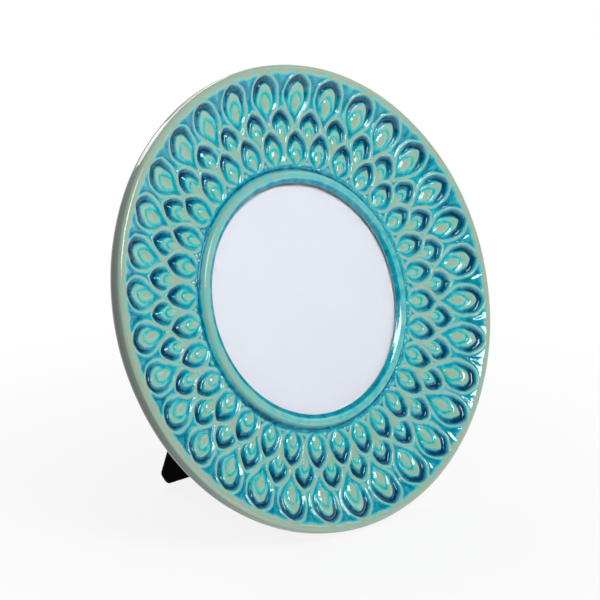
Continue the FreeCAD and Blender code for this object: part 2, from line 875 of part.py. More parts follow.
def make_leg_shape(name, inset):
    """The leg's outline with its foot cut level, drawn in by inset all round."""
    body = new_body(name, LEG)
    inner = leg_inner_face - inset
    outer = leg_outer_face + inset
    raised = inset / cosine(leg_tilt) - axis_to_floor
    top = leg_top - inset
    side = new_sketch(body, "YZ_Plane")
    draw_outline(side, [
        (outer * tangent(leg_tilt) + raised, outer),
        (inner * tangent(leg_tilt) + raised, inner),
        (top, inner),
        (top, outer),
    ])
    blank_half_width = driving("leg_knee_half_width") + driving("overrun")
    add_pad(body, side, blank_half_width * 2, both_ways=True)

    knee_half_width = driving("leg_knee_half_width") - inset
    foot_half_width = driving("leg_foot_half_width") - inset
    top_half_width = driving("leg_top_half_width") - inset
    knee_y = leg_low + driving("leg_knee_rise")
    foot_y = leg_low + inset
    overrun = driving("overrun")
    chamfer_run = (knee_half_width - foot_half_width) / (knee_y - foot_y)
    past_half_width = foot_half_width - overrun * chamfer_run
    past_y = foot_y - overrun
    taper_run = (knee_half_width - top_half_width) / (top - knee_y)
    above_half_width = top_half_width - overrun * taper_run
    above_y = top + overrun
    far_half_width = blank_half_width + overrun
    trim = new_sketch(body, "XY_Plane")
    draw_outline(trim, [
        (-past_half_width, past_y),
        (past_half_width, past_y),
        (knee_half_width, knee_y),
        (above_half_width, above_y),
        (-above_half_width, above_y),
        (-knee_half_width, knee_y),
    ])
    draw_outline(trim, [
        (-far_half_width, past_y - overrun),
        (far_half_width, past_y - overrun),
        (far_half_width, above_y + overrun),
        (-far_half_width, above_y + overrun),
    ])
    add_pocket(body, trim)
    near = driving("leg_board_thickness")
    add_fillet(body, driving("leg_knee_round"), corner_edge(knee_half_width, knee_y, near))
    add_fillet(body, driving("leg_foot_round"), corner_edge(foot_half_width, foot_y, near))
    add_fillet(body, driving("leg_top_round"), corner_edge(top_half_width, top, near))
    pierce_for_rivets(body, -driving("rivet_set_back"), rivet_hole_radius)
    return body


def make_leg_cloth(leg_board):
    """Velvet glued all round the leg's board."""
    outside = make_leg_shape("leg_cloth_outside", ZERO)
    cloth = doc.addObject("Part::Cut", "leg_cloth")
    cloth.Label = "leg_cloth"
    cloth.Base = outside
    cloth.Tool = leg_board
    return cloth


# Stay ribbon and its staples

def sheet_outline(path, thickness):
    """The corners of a thin strip that follows a path, half its thickness each way."""
    count = len(path)
    directions = [(path[n + 1] - path[n]).normalize() for n in range(count - 1)]
    sides = [Vector(0, -way.z, way.y) for way in directions]
    offsets = [sides[0]]
    for before, after in zip(sides, sides[1:]):
        middle = before + after
        offsets.append(middle * (2 / middle.dot(middle)))
    offsets.append(sides[-1])
    half = thickness / 2
    one_side = [point + offset * half for point, offset in zip(path, offsets)]
    other_side = [point - offset * half for point, offset in zip(path, offsets)]
    return one_side + other_side[::-1]


def make_stay_ribbon():
    """The taut ribbon that stops the leg, in the hinge's own directions."""
    thickness = SIZES["ribbon_thickness"]
    tab = SIZES["ribbon_tab"]
    board_reach = SIZES["ribbon_board_reach"]
    leg_reach = SIZES["ribbon_leg_reach"]
    board_z = axis_standoff.number - thickness / 2
    leg_z = leg_inner_face.number + SIZES["cloth_gap"] + thickness / 2
    swing = FreeCAD.Rotation(Vector(1, 0, 0), open_angle.number)
    path = [
        Vector(0, tab - board_reach, board_z),
        Vector(0, -board_reach, board_z),
        swing.multVec(Vector(0, -leg_reach, leg_z)),
        swing.multVec(Vector(0, -leg_reach - tab, leg_z)),
    ]
    corners = sheet_outline(path, thickness)
    strip = Part.Face(Part.makePolygon(corners + corners[:1]))
    half_width = SIZES["ribbon_width"] / 2
    strip.translate(Vector(-half_width, 0, 0))
    ribbon = doc.addObject("Part::Feature", "stay_ribbon")
    ribbon.Label = "stay_ribbon"
    ribbon.Shape = strip.extrude(Vector(SIZES["ribbon_width"], 0, 0))
    place(ribbon, HINGE)
    return ribbon


def make_staple(name, formula, reach, face, outwards):
    """A wire staple across the ribbon; outwards is 1 or -1 along local Z."""
    body = new_body(name, formula)
    wire = driving("staple_wire")
    inner_half_width = driving("ribbon_width") / 2 + driving("staple_side_gap")
    outer_half_width = inner_half_width + wire
    crown_under = face + (driving("ribbon_thickness") + driving("running_gap")) * outwards
    crown_top = crown_under + wire * outwards
    leg_end = face - driving("staple_depth") * outwards
    sketch = new_sketch(body, "XZ_Plane", lift=reach)
    draw_outline(sketch, [
        (-outer_half_width, crown_top),
        (outer_half_width, crown_top),
        (outer_half_width, leg_end),
        (inner_half_width, leg_end),
        (inner_half_width, crown_under),
        (-inner_half_width, crown_under),
        (-inner_half_width, leg_end),
        (-outer_half_width, leg_end),
    ])
    add_pad(body, sketch, wire, both_ways=True)
    return body


# The whole frame

nodes = {
    "ceramic_frame": make_ceramic_frame(),
    "mount_ring": make_mount_ring(),
    "glass_pane": make_insert("glass_pane", glass_back, driving("glass_thickness")),
    "photo_card": make_insert("photo_card", photo_back, driving("photo_thickness")),
    "spacer_card": make_insert("spacer_card", spacer_back, driving("spacer_thickness")),
    "backing_board": make_backing_board(),
    "backing_cloth": make_backing_cloth(),
    "button_washers": make_button_washers(),
    "button_screws": make_button_screws(),
    "board_leaf": make_board_leaf(),
    "leg_leaf": make_leg_leaf(),
    "hinge_pin": make_hinge_pin(),
    "leg_board": make_leg_shape("leg_board", driving("leg_cloth_thickness")),
    "stay_ribbon": make_stay_ribbon(),
}
for index in range(SIZES["button_count"]):
    button_name = f"turn_button_{index + 1}"
    nodes[button_name] = make_turn_button(button_name, index)
nodes["leg_cloth"] = make_leg_cloth(nodes["leg_board"])
board_spot = RING + " * " + shift(ZERO, rivet_rise, ZERO)
nodes["board_rivets"] = make_rivets(
    "board_rivets",
    board_spot,
    -(back_face + leaf_thickness),
    -(board_front + driving("rivet_tail_height")),
)
leg_spot = LEG + " * " + shift(ZERO, -driving("rivet_set_back"), ZERO)
nodes["leg_rivets"] = make_rivets("leg_rivets", leg_spot, -barrel_radius, leg_inner_face)
tab_middle = driving("ribbon_tab") / 2
nodes["board_staple"] = make_staple(
    "board_staple",
    HINGE,
    driving("ribbon_board_reach") - tab_middle,
    axis_standoff,
    -1,
)
nodes["leg_staple"] = make_staple(
    "leg_staple",
    LEG,
    driving("ribbon_leg_reach") + tab_middle,
    leg_inner_face + driving("cloth_gap"),
    1,
)

doc.recompute()


def check_document():
    """Stops on any failed object or unsound piece."""
    for item in doc.Objects:
        if "Invalid" in item.State or "Error" in item.State:
            raise RuntimeError(f"{item.Label} failed: {item.State}")
    for name, item in nodes.items():
        if item.Shape.isNull() or not item.Shape.isValid() or not item.Shape.Solids:
            raise RuntimeError(f"{name} has no sound solid")


check_document()
os.makedirs("parts", exist_ok=True)
for name, item in nodes.items():
    item.Shape.exportStep(f"parts/{name}.step")
    print(f"{name}: {len(item.Shape.Solids)} solid(s), {item.Shape.Volume:.1f} mm3")
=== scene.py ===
import bpy
import math
import numpy as np
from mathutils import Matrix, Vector


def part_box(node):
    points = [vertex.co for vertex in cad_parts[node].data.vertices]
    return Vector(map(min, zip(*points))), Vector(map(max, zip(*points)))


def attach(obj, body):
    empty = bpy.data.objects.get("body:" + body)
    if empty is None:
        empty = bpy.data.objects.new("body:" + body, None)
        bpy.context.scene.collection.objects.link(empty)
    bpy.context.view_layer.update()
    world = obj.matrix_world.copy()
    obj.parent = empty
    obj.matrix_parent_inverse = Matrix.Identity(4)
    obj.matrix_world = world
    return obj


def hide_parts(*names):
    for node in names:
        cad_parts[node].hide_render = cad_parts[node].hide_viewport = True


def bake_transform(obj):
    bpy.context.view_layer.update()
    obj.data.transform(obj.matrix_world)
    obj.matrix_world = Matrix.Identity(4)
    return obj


bl_info = {
    "name": "Round photo frame",
    "version": (1, 0, 0),
    "blender": (4, 5, 0),
    "location": "View3D > Sidebar > Photo Frame",
    "description": "Dresses the round photo frame in carved glaze, velvet, card and plated metal",
    "category": "Object",
}

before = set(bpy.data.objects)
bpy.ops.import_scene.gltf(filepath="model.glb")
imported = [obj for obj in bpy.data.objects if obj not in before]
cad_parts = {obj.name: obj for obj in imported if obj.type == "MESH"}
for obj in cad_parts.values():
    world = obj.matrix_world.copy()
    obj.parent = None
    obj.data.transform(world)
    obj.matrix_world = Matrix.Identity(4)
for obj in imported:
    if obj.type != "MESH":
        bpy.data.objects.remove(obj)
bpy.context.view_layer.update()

# Sizes are in millimetres up to the making of a mesh, which is in metres.
MM = 0.001

# Ring, with depths measured back from the plane of its rim.
RIM_RADIUS = 101.6
RIM_ROUND = 1.8
BACK_ROUND = 6.0
RING_THICKNESS = 10.5
OPENING_RADIUS = 50.3
REBATE_RADIUS = 53.7
LIP_DEPTH = 7.1
GLASS_MIDDLE_DEPTH = 8.15
BARE_RADIUS = 94.6

# Depth of the dish before it is carved, as (radius, depth) from the opening out.
DISH_CURVE = (
    (50.3, 6.5), (50.9, 6.1), (51.7, 5.6), (52.6, 5.15), (53.4, 5.0), (54.5, 5.0), (55.2, 5.2),
    (55.7, 6.0), (56.1, 7.2), (56.5, 7.6), (57.0, 7.6), (57.5, 7.2), (58.2, 6.75), (61.0, 6.6),
    (64.0, 6.45), (68.0, 6.3), (74.0, 6.0), (78.0, 5.7), (82.0, 5.3), (86.0, 4.65),
    (90.0, 3.5), (94.0, 1.9), (97.0, 0.65), (98.6, 0.12), (99.8, 0.0),
)

# Outlines of the three rows of petals: (radius on the ring, half width). Each row
# has its hollow, the leaf left standing in it and the drop on the leaf. "turn" is
# in petals, "leaf_fade" in radii, "depths" runs from tip to top, and "wall" is how
# wide the hollow's wall is.
PETAL_ROWS = (
    {
        "turn": 0.0, "leaf_fade": (83.0, 86.5), "depths": (0.65, 1.45), "wall": 1.05,
        "hollow": (
            (97.4, 0.0), (96.9, 1.7), (95.7, 3.8), (93.9, 5.5), (92.0, 6.25), (90.0, 6.5),
            (88.0, 6.45), (86.0, 5.95), (84.0, 5.0), (82.0, 3.7), (80.0, 2.5), (78.0, 1.4),
            (75.9, 0.0)),
        "leaf": (
            (94.0, 0.0), (93.3, 1.3), (91.9, 2.7), (89.8, 3.6), (87.5, 4.05), (85.3, 3.6),
            (83.3, 2.6), (81.4, 1.2), (80.3, 0.0)),
        "drop": (
            (89.6, 0.0), (88.7, 1.1), (87.2, 1.9), (85.2, 2.3), (83.4, 1.9), (82.0, 1.1),
            (81.0, 0.0)),
    },
    {
        "turn": 0.5, "leaf_fade": (69.0, 72.0), "depths": (0.6, 1.4), "wall": 0.9,
        "hollow": (
            (82.4, 0.0), (81.7, 1.4), (80.4, 3.0), (78.4, 4.4), (76.2, 4.95), (74.0, 4.75),
            (72.0, 3.95), (70.0, 3.0), (68.0, 2.1), (66.0, 1.1), (64.3, 0.0)),
        "leaf": (
            (77.6, 0.0), (77.1, 1.1), (75.9, 2.0), (74.0, 2.4), (72.0, 2.1), (70.2, 1.4),
            (68.6, 0.7), (67.4, 0.0)),
        "drop": (
            (74.6, 0.0), (73.9, 0.8), (72.6, 1.35), (71.0, 1.4), (69.4, 1.0), (68.2, 0.5),
            (67.5, 0.0)),
    },
    {
        "turn": 0.0, "leaf_fade": (60.5, 63.0), "depths": (0.65, 1.35), "wall": 0.9,
        "hollow": (
            (73.3, 0.0), (72.5, 1.3), (71.3, 2.6), (69.8, 3.7), (68.0, 4.5), (66.0, 5.0),
            (64.0, 5.2), (62.0, 4.7), (60.0, 3.3), (58.6, 1.7), (57.6, 0.0)),
        "leaf": (
            (68.7, 0.0), (68.1, 1.1), (66.9, 2.0), (65.0, 2.6), (63.0, 2.5), (61.2, 1.8),
            (59.7, 0.9), (58.7, 0.0)),
        "drop": (
            (65.0, 0.0), (64.3, 0.9), (63.0, 1.5), (61.5, 1.6), (60.1, 1.1), (59.2, 0.5),
            (58.6, 0.0)),
    },
)

# How much the hand-cut petals differ: radians round the ring, then shares of a
# petal's length, width and length again for its lean.
PETAL_SLIP = 0.004
PETAL_STRETCH = 0.018
PETAL_WIDEN = 0.03
PETAL_LEAN = 0.03
PETAL_SEED = 7
# Waves in which a hand-held tool wanders: (their length, how far).
HAND_WAVERS = ((9.5, 0.16), (5.6, 0.04))

# Waves round the rim's edge: (how many, how high).
RIM_WAVES = ((2, 0.05), (5, 0.05), (9, 0.04), (16, 0.03))

COLUMNS_PER_PETAL = 40
ROW_STEP = 0.3

# Back: depths behind the rim, and radii.
BOARD_FRONT_DEPTH = 10.5
BACK_DEPTH = 13.6
BACKING_RADIUS = 56.7

# Leg, along its own directions from the hinge's axis.
LEAN = math.radians(21.05)
OPEN = math.radians(36.7)
LEG_TILT = OPEN - LEAN
LEG_TOP = -2.4
LEG_INNER = 2.3
LEG_OUTER = -1.1
LEG_TOP_HALF_WIDTH = 21.7
LEG_KNEE_HALF_WIDTH = 36.7
LEG_FOOT_HALF_WIDTH = 33.0
LEG_KNEE_RISE = 5.4
VELVET_EDGE_ROUND = 0.7
LEG_EDGE_ROUND = 0.8

# Stay ribbon, along the board's directions from the hinge's axis.
RIBBON_WIDTH = 10.0
RIBBON_THICKNESS = 0.4
RIBBON_TAB = 6.0
RIBBON_COLUMNS = 13
RIBBON_BOARD = (-66.0, 3.7)
RIBBON_LEG = (-80.0, 2.8)
# Slant of the line along which the ribbon passes from the board to the leg, so
# that it lies between them when the leg is shut.
RIBBON_SLANT = math.radians(68.0)

ACROSS = Vector((1.0, 0.0, 0.0))
RING_UP = Vector((0.0, math.sin(LEAN), math.cos(LEAN)))
RING_FRONT = Vector((0.0, -math.cos(LEAN), math.sin(LEAN)))
LEG_UP = Vector((0.0, -math.sin(LEG_TILT), math.cos(LEG_TILT)))
LEG_FRONT = Vector((0.0, -math.cos(LEG_TILT), -math.sin(LEG_TILT)))


def middle(node):
    low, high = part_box(node)
    return (low + high) / 2


RING_CENTRE = middle("glass_pane") + RING_FRONT * GLASS_MIDDLE_DEPTH * MM
HINGE_CENTRE = middle("hinge_pin")


# Settings that a user would change

def colour(red, green, blue):
    """An sRGB colour in 0 to 255 as the linear colour that a shader takes."""
    return tuple(
        ((c / 255 + 0.055) / 1.055) ** 2.4 if c > 10 else c / 255 / 12.92
        for c in (red, green, blue))


def colour_setting(name, description, red, green, blue):
    return bpy.props.FloatVectorProperty(
        name=name, description=description, default=colour(red, green, blue),
        subtype="COLOR", size=3, min=0.0, max=1.0)


def number_setting(name, description, default, **kind):
    return bpy.props.FloatProperty(name=name, description=description, default=default, **kind)


def angle_setting(name, description, degrees):
    return number_setting(
        name, description, math.radians(degrees), unit="ROTATION", subtype="ANGLE")


class RoundFrameRing(bpy.types.PropertyGroup):
    petal_count: bpy.props.IntProperty(
        name="Petals", description="Petals in each of the three rows", default=32, min=12, max=60)
    start_angle: angle_setting("Start", "How far clockwise of the top the first petal lies", 1.4)
    carving: number_setting(
        "Carving", "How deep the carving is, as a share of the usual depth", 1.0,
        min=0.0, max=1.5, subtype="FACTOR")
    unevenness: number_setting(
        "Unevenness", "How much the hand-cut petals differ", 1.0,
        min=0.0, max=3.0, subtype="FACTOR")
    thin_glaze: colour_setting("Thin glaze", "Glaze on the ridges and the leaves", 190, 207, 184)
    light_glaze: colour_setting("Light glaze", "Glaze where it starts to gather", 126, 226, 218)
    mid_glaze: colour_setting("Middle glaze", "Glaze on the floors of the hollows", 20, 194, 216)
    deep_glaze: colour_setting("Deep glaze", "Glaze where it has run together", 0, 126, 158)
    pool_glaze: colour_setting("Pooled glaze", "Glaze at its thickest", 0, 66, 98)
    # Partly painted shade: the wall glaze is darkened for the shade on the outer wall.
    wall_glaze_and_shade: colour_setting("Wall glaze", "Glaze on the outer wall", 76, 98, 80)
    clay: colour_setting("Clay", "Bare fired clay on the back", 176, 160, 138)


class RoundFrameBack(bpy.types.PropertyGroup):
    velvet: colour_setting("Velvet", "Velvet of the back and the leg", 7, 7, 9)
    ribbon: colour_setting("Ribbon", "Stay ribbon", 16, 16, 19)
    board_paint: colour_setting("Board paint", "Paint on the ring that holds the back", 26, 26, 28)
    hardboard: colour_setting("Hardboard", "Pressed board under the velvet", 122, 88, 58)
    grey_card: colour_setting("Packing card", "Packing card behind the print", 150, 148, 142)
    print_paper: colour_setting("Print", "Blank print behind the glass", 211, 215, 224)
    plating: colour_setting("Plating", "Nickel plating on the metalwork", 202, 198, 190)


class RoundFrameStage(bpy.types.PropertyGroup):
    distance: number_setting(
        "Distance", "From the ring's middle to the camera", 1.1, unit="LENGTH")
    azimuth: angle_setting("Azimuth", "Turn of the camera round the frame", -41.41)
    elevation: angle_setting("Elevation", "Height of the camera over the ring's middle", 18.0)
    lens: number_setting("Lens", "Focal length of the camera", 153.7, unit="CAMERA")
    floor: colour_setting("Floor", "Plain pale floor", 244, 245, 247)
    key_light: number_setting("Key light", "Power of the soft light in front", 7.0, unit="POWER")
    room_light: number_setting(
        "Room light", "Strength of the light from all round", 0.18, min=0.0, subtype="FACTOR")


class RoundFrameSettings(bpy.types.PropertyGroup):
    ring: bpy.props.PointerProperty(
        name="Ring", description="Carved and glazed ring", type=RoundFrameRing)
    back: bpy.props.PointerProperty(
        name="Back", description="Back, leg and what they hold", type=RoundFrameBack)
    stage: bpy.props.PointerProperty(
        name="Stage", description="Camera, floor and light", type=RoundFrameStage)


# Shader nodes

WHITE = (1.0, 1.0, 1.0, 1.0)


def feed(tree, socket, value):
    """Links the socket if the value is one too, and otherwise sets it."""
    if isinstance(value, bpy.types.NodeSocket):
        tree.links.new(value, socket)
    else:
        socket.default_value = value


def add_node(tree, kind, inputs=None, **settings):
    """Adds a node; an input is a value or the socket that feeds it."""
    node = tree.nodes.new(kind)
    for name, value in settings.items():
        setattr(node, name, value)
    for name, value in (inputs or {}).items():
        feed(tree, node.inputs[name], value)
    return node


def opaque(rgb):
    return (*rgb, 1.0)


def shaded(rgb, factor):
    """The colour made darker or lighter by a factor, as a shader takes it."""
    return opaque(min(channel * factor, 1.0) for channel in rgb)


def object_point(tree):
    return add_node(tree, "ShaderNodeTexCoord").outputs["Object"]


def attribute(tree, name):
    return add_node(tree, "ShaderNodeAttribute", attribute_name=name).outputs["Fac"]


def noise(tree, scale, detail=2.0, point=None):
    return add_node(tree, "ShaderNodeTexNoise", {
        "Vector": point or object_point(tree), "Scale": scale, "Detail": detail}).outputs["Fac"]


def ranged(tree, value, low, high, to_low=0.0, to_high=1.0):
    node = add_node(tree, "ShaderNodeMapRange", {
        "Value": value, "From Min": low, "From Max": high, "To Min": to_low, "To Max": to_high})
    return node.outputs["Result"]


def calculated(tree, operation, first, second):
    return add_node(tree, "ShaderNodeMath", {0: first, 1: second}, operation=operation).outputs[0]


def product(tree, first, second):
    return calculated(tree, "MULTIPLY", first, second)


def larger(tree, first, second):
    return calculated(tree, "MAXIMUM", first, second)


def weighted(tree, first, first_share, second, second_share):
    """The sum of two values, each times its share."""
    return calculated(
        tree, "ADD", product(tree, first, first_share), product(tree, second, second_share))


def mixed(tree, share, first, second):
    # Of the node's sockets, the ones for colours are 6 and 7, and 2 comes out.
    node = add_node(tree, "ShaderNodeMix", {0: share, 6: first, 7: second}, data_type="RGBA")
    return node.outputs[2]


def raised(tree, height, depth, strength):
    node = add_node(tree, "ShaderNodeBump", {
        "Height": height, "Distance": depth, "Strength": strength})
    return node.outputs["Normal"]


def shared_group(name, inputs, outputs, fill):
    """The node group of this name, filled by fill(group, given, result) when new."""
    group = bpy.data.node_groups.get(name)
    if group:
        return group
    group = bpy.data.node_groups.new(name, "ShaderNodeTree")
    for socket_name, kind, default in inputs:
        socket = group.interface.new_socket(name=socket_name, in_out="INPUT", socket_type=kind)
        socket.default_value = default
    for socket_name, kind in outputs:
        group.interface.new_socket(name=socket_name, in_out="OUTPUT", socket_type=kind)
    given = group.nodes.new("NodeGroupInput").outputs
    fill(group, given, group.nodes.new("NodeGroupOutput").inputs)
    return group


def fine_grain_group():
    """Two colours mottled by a fine grain, with the grain's height."""
    def fill(group, given, result):
        fine = noise(group, 600.0, 4.0)
        group.links.new(given["Scale"], fine.node.inputs["Scale"])
        spread = weighted(group, fine, 0.7, noise(group, 45.0), 0.3)
        share = ranged(group, spread, 0.38, 0.62)
        shade = mixed(group, share, given["Colour"], given["Second Colour"])
        group.links.new(shade, result["Colour"])
        group.links.new(fine, result["Height"])
    return shared_group(
        "Fine Grain",
        (("Colour", "NodeSocketColor", (0.5, 0.5, 0.5, 1.0)),
         ("Second Colour", "NodeSocketColor", (0.4, 0.4, 0.4, 1.0)),
         ("Scale", "NodeSocketFloat", 600.0)),
        (("Colour", "NodeSocketColor"), ("Height", "NodeSocketFloat")), fill)


def edge_wear_group():
    """Shows a worn colour in patches along the edges."""
    def fill(group, given, result):
        pointed = add_node(group, "ShaderNodeNewGeometry").outputs["Pointiness"]
        edge = ranged(group, pointed, 0.53, 0.62)
        patchy = ranged(group, noise(group, 260.0, 3.0), 0.4, 0.65)
        share = product(group, product(group, edge, patchy), given["Wear"])
        shade = mixed(group, share, given["Colour"], given["Worn Colour"])
        group.links.new(shade, result["Colour"])
    return shared_group(
        "Edge Wear",
        (("Colour", "NodeSocketColor", (0.5, 0.5, 0.5, 1.0)),
         ("Worn Colour", "NodeSocketColor", (0.8, 0.8, 0.8, 1.0)),
         ("Wear", "NodeSocketFloat", 0.5)),
        (("Colour", "NodeSocketColor"),), fill)


def use_group(tree, group, values):
    node = add_node(tree, "ShaderNodeGroup", node_tree=group)
    for name, value in values.items():
        feed(tree, node.inputs[name], value)
    return node.outputs


def new_material(name, values, linked=None, wrapped=None):
    """A Principled shader, fed by linked(tree) and put into wrapped(tree, shader)."""
    material = bpy.data.materials.get(name) or bpy.data.materials.new(name)
    material.use_nodes = True
    tree = material.node_tree
    tree.nodes.clear()
    feeds = linked(tree) if linked else {}
    surface = add_node(tree, "ShaderNodeBsdfPrincipled", {**values, **feeds}).outputs["BSDF"]
    if wrapped:
        surface = wrapped(tree, surface)
    add_node(tree, "ShaderNodeOutputMaterial", {"Surface": surface})
    return material


def relief(tree, shade, roughness, height, depth, strength):
    """What a Principled shader takes for a colour, a roughness and a raised grain."""
    return {
        "Base Color": shade, "Roughness": roughness,
        "Normal": raised(tree, height, depth, strength)}


def glazed_material(ring):
    """Glaze that is pale where it is thin and deep blue where it gathers."""
    def linked(tree):
        pool = attribute(tree, "glaze_pool")
        wall = attribute(tree, "wall_and_shade")
        bare = attribute(tree, "bare_clay")
        cloudy = ranged(tree, noise(tree, 260.0, 4.0), 0.3, 0.7, -0.13, 0.17)
        cloudy = product(tree, cloudy, ranged(tree, pool, 0.04, 0.3, 0.15, 1.0))
        speckled = ranged(tree, noise(tree, 1500.0, 3.0), 0.35, 0.65, -0.16, 0.16)
        clouded = calculated(tree, "ADD", pool, cloudy)
        depth = calculated(tree, "ADD", clouded, product(tree, speckled, pool))
        ramp = add_node(tree, "ShaderNodeValToRGB", {"Fac": depth})
        stops = ramp.color_ramp.elements
        stops.remove(stops[1])
        stops[0].position = 0.02
        stops[0].color = opaque(ring.thin_glaze)
        for place, shade in ((0.19, ring.light_glaze), (0.42, ring.mid_glaze),
                             (0.78, ring.deep_glaze), (1.0, ring.pool_glaze)):
            stops.new(place).color = opaque(shade)
        green = attribute(tree, "glaze_green")
        drifting = ranged(tree, noise(tree, 110.0, 2.0), 0.35, 0.65, 0.492, 0.512)
        hue = calculated(tree, "SUBTRACT", drifting, product(tree, green, 0.024))
        tinted = add_node(tree, "ShaderNodeHueSaturation", {
            "Hue": hue, "Color": ramp.outputs["Color"]}).outputs["Color"]
        # The wall colour is partly painted shade, darker where the wall share is higher, towards
        # the back.
        on_wall = ranged(tree, wall, 0.25, 1.0)
        wall_shaded = mixed(tree, on_wall, tinted, opaque(ring.wall_glaze_and_shade))
        clay = use_group(tree, fine_grain_group(), {
            "Colour": opaque(ring.clay), "Second Colour": shaded(ring.clay, 0.8), "Scale": 700.0})
        waviness = ranged(tree, wall, 0.0, 0.05, 0.5, 0.0)
        waves = raised(tree, noise(tree, 420.0), 0.00015, waviness)
        pits = add_node(tree, "ShaderNodeBump", {
            "Height": clay["Height"], "Distance": 0.0002, "Strength": bare, "Normal": waves})
        return {
            "Base Color": mixed(tree, bare, wall_shaded, clay["Colour"]),
            "Roughness": ranged(tree, bare, 0.0, 1.0, 0.05, 0.82),
            "Normal": pits.outputs["Normal"],
        }
    return new_material("glazed_relief", {"IOR": 1.6}, linked)


def mottled_material(name, shade, second_factor, scale, rough, depth, under=None):
    """A matt fine grain, rubbed through along its edges to the colour under it, if any."""
    def linked(tree):
        grain = use_group(tree, fine_grain_group(), {
            "Colour": opaque(shade), "Second Colour": shaded(shade, second_factor), "Scale": scale})
        mottled = grain["Colour"]
        if under:
            mottled = use_group(tree, edge_wear_group(), {
                "Colour": mottled, "Worn Colour": opaque(under), "Wear": 0.45})["Colour"]
        roughness = ranged(tree, grain["Height"], 0.3, 0.7, *rough)
        return relief(tree, mottled, roughness, grain["Height"], depth, 0.6)
    return new_material(name, {}, linked)


def plated_material(name, plating, roughness):
    """Nickel plating with fine rubbing marks and bright, worn edges."""
    def linked(tree):
        stretched = add_node(tree, "ShaderNodeMapping", {
            "Vector": object_point(tree), "Scale": (1.0, 6.0, 6.0)}).outputs["Vector"]
        marks = noise(tree, 900.0, 4.0, stretched)
        dull = ranged(tree, noise(tree, 150.0), 0.35, 0.7, 0.0, 0.5)
        dulled = mixed(tree, dull, opaque(plating), shaded(plating, 0.72))
        worn = use_group(tree, edge_wear_group(), {
            "Colour": dulled, "Worn Colour": shaded(plating, 1.3), "Wear": 0.6})
        rough = ranged(tree, marks, 0.3, 0.7, roughness - 0.08, roughness + 0.12)
        return relief(tree, worn["Colour"], rough, marks, 0.00003, 0.5)
    return new_material(name, {"Metallic": 1.0}, linked)


def velvet_material(back):
    """Short black pile that shades in soft clouds where it has been brushed."""
    def linked(tree):
        pile = noise(tree, 2600.0)
        brushed = ranged(tree, noise(tree, 38.0, 3.0), 0.35, 0.65)
        nap = weighted(tree, brushed, 0.55, pile, 0.45)
        shade = mixed(tree, nap, shaded(back.velvet, 0.6), shaded(back.velvet, 2.0))
        return relief(tree, shade, ranged(tree, nap, 0.2, 0.8, 0.85, 1.0), pile, 0.0004, 0.8)
    return new_material("black_velvet", {
        "Sheen Weight": 0.06, "Sheen Roughness": 0.35, "Sheen Tint": (0.6, 0.62, 0.7, 1.0),
        "Specular IOR Level": 0.05}, linked)


def ribbon_material(back):
    """Woven ribbon with fine ribs across it and threads along it."""
    def linked(tree):
        uv = add_node(tree, "ShaderNodeUVMap", uv_map="along").outputs["UV"]
        ribs = add_node(tree, "ShaderNodeTexWave", {
            "Vector": uv, "Scale": 22.0, "Distortion": 0.4, "Detail": 1.0}, bands_direction="X")
        threads = add_node(tree, "ShaderNodeTexWave", {
            "Vector": uv, "Scale": 60.0, "Distortion": 1.0, "Detail": 1.0}, bands_direction="Y")
        weave = weighted(tree, ribs.outputs["Fac"], 0.7, threads.outputs["Fac"], 0.3)
        shade = mixed(tree, weave, shaded(back.ribbon, 0.5), shaded(back.ribbon, 2.2))
        return relief(tree, shade, ranged(tree, weave, 0.0, 1.0, 0.6, 0.42), weave, 0.00025, 0.8)
    return new_material("black_ribbon", {"Sheen Weight": 0.2, "Sheen Roughness": 0.4}, linked)


def clear_glass_material():
    """Clear glass that lets the light through to the print behind it."""
    def wrapped(tree, glass):
        shadow = add_node(tree, "ShaderNodeLightPath").outputs["Is Shadow Ray"]
        clear = add_node(tree, "ShaderNodeBsdfTransparent").outputs["BSDF"]
        choice = add_node(tree, "ShaderNodeMixShader", {0: shadow, 1: glass, 2: clear})
        return choice.outputs["Shader"]
    return new_material("clear_glass", {
        "Base Color": WHITE, "Roughness": 0.0, "IOR": 1.5,
        "Transmission Weight": 1.0}, wrapped=wrapped)


def finish_node(node, material):
    """Gives every material slot of a solid the material."""
    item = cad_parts[node]
    item.data.materials.clear()
    item.data.materials.append(material)
    for polygon in item.data.polygons:
        polygon.material_index = 0


# Mesh building

def grid_faces(rows, columns, round_rows=False):
    """Quads of a grid whose columns close up, and whose rows do if asked."""
    row = np.arange(rows if round_rows else rows - 1)
    row, column = np.meshgrid(row, np.arange(columns), indexing="ij")
    next_row, next_column = (row + 1) % rows, (column + 1) % columns
    corners = np.stack((
        row * columns + column, row * columns + next_column,
        next_row * columns + next_column, next_row * columns + column), axis=-1)
    return corners.reshape(-1, 4)


def new_piece(name, points, faces, material, body):
    """A smooth mesh object from arrays of points in metres and quads, on a body."""
    if not np.isfinite(points).all():
        raise RuntimeError(f"{name}: a point isn't a number")
    mesh = bpy.data.meshes.new(name)
    mesh.from_pydata(points.tolist(), [], faces.tolist())
    mesh.shade_smooth()
    if mesh.validate():
        raise RuntimeError(f"{name}: its mesh had faults")
    mesh.materials.append(material)
    item = bpy.data.objects.new(name, mesh)
    bpy.context.scene.collection.objects.link(item)
    if body:
        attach(item, body)
    return item


def placed(origin, directions, across, up, out):
    """Points given in millimetres along three directions, as rows in metres."""
    across, up, out = np.broadcast_arrays(across, up, out)
    local = np.stack((across, up, out), axis=-1).reshape(-1, 3) * MM
    return np.array(origin) + local @ np.array(directions)


def ring_points(across, up, depth):
    directions = (ACROSS, RING_UP, RING_FRONT)
    return placed(RING_CENTRE, directions, across, up, -np.asarray(depth))


def leg_points(across, up, out):
    return placed(HINGE_CENTRE, (ACROSS, LEG_UP, LEG_FRONT), across, up, out)


def hinge_points(across, up, out):
    return placed(HINGE_CENTRE, (ACROSS, RING_UP, RING_FRONT), across, up, out)


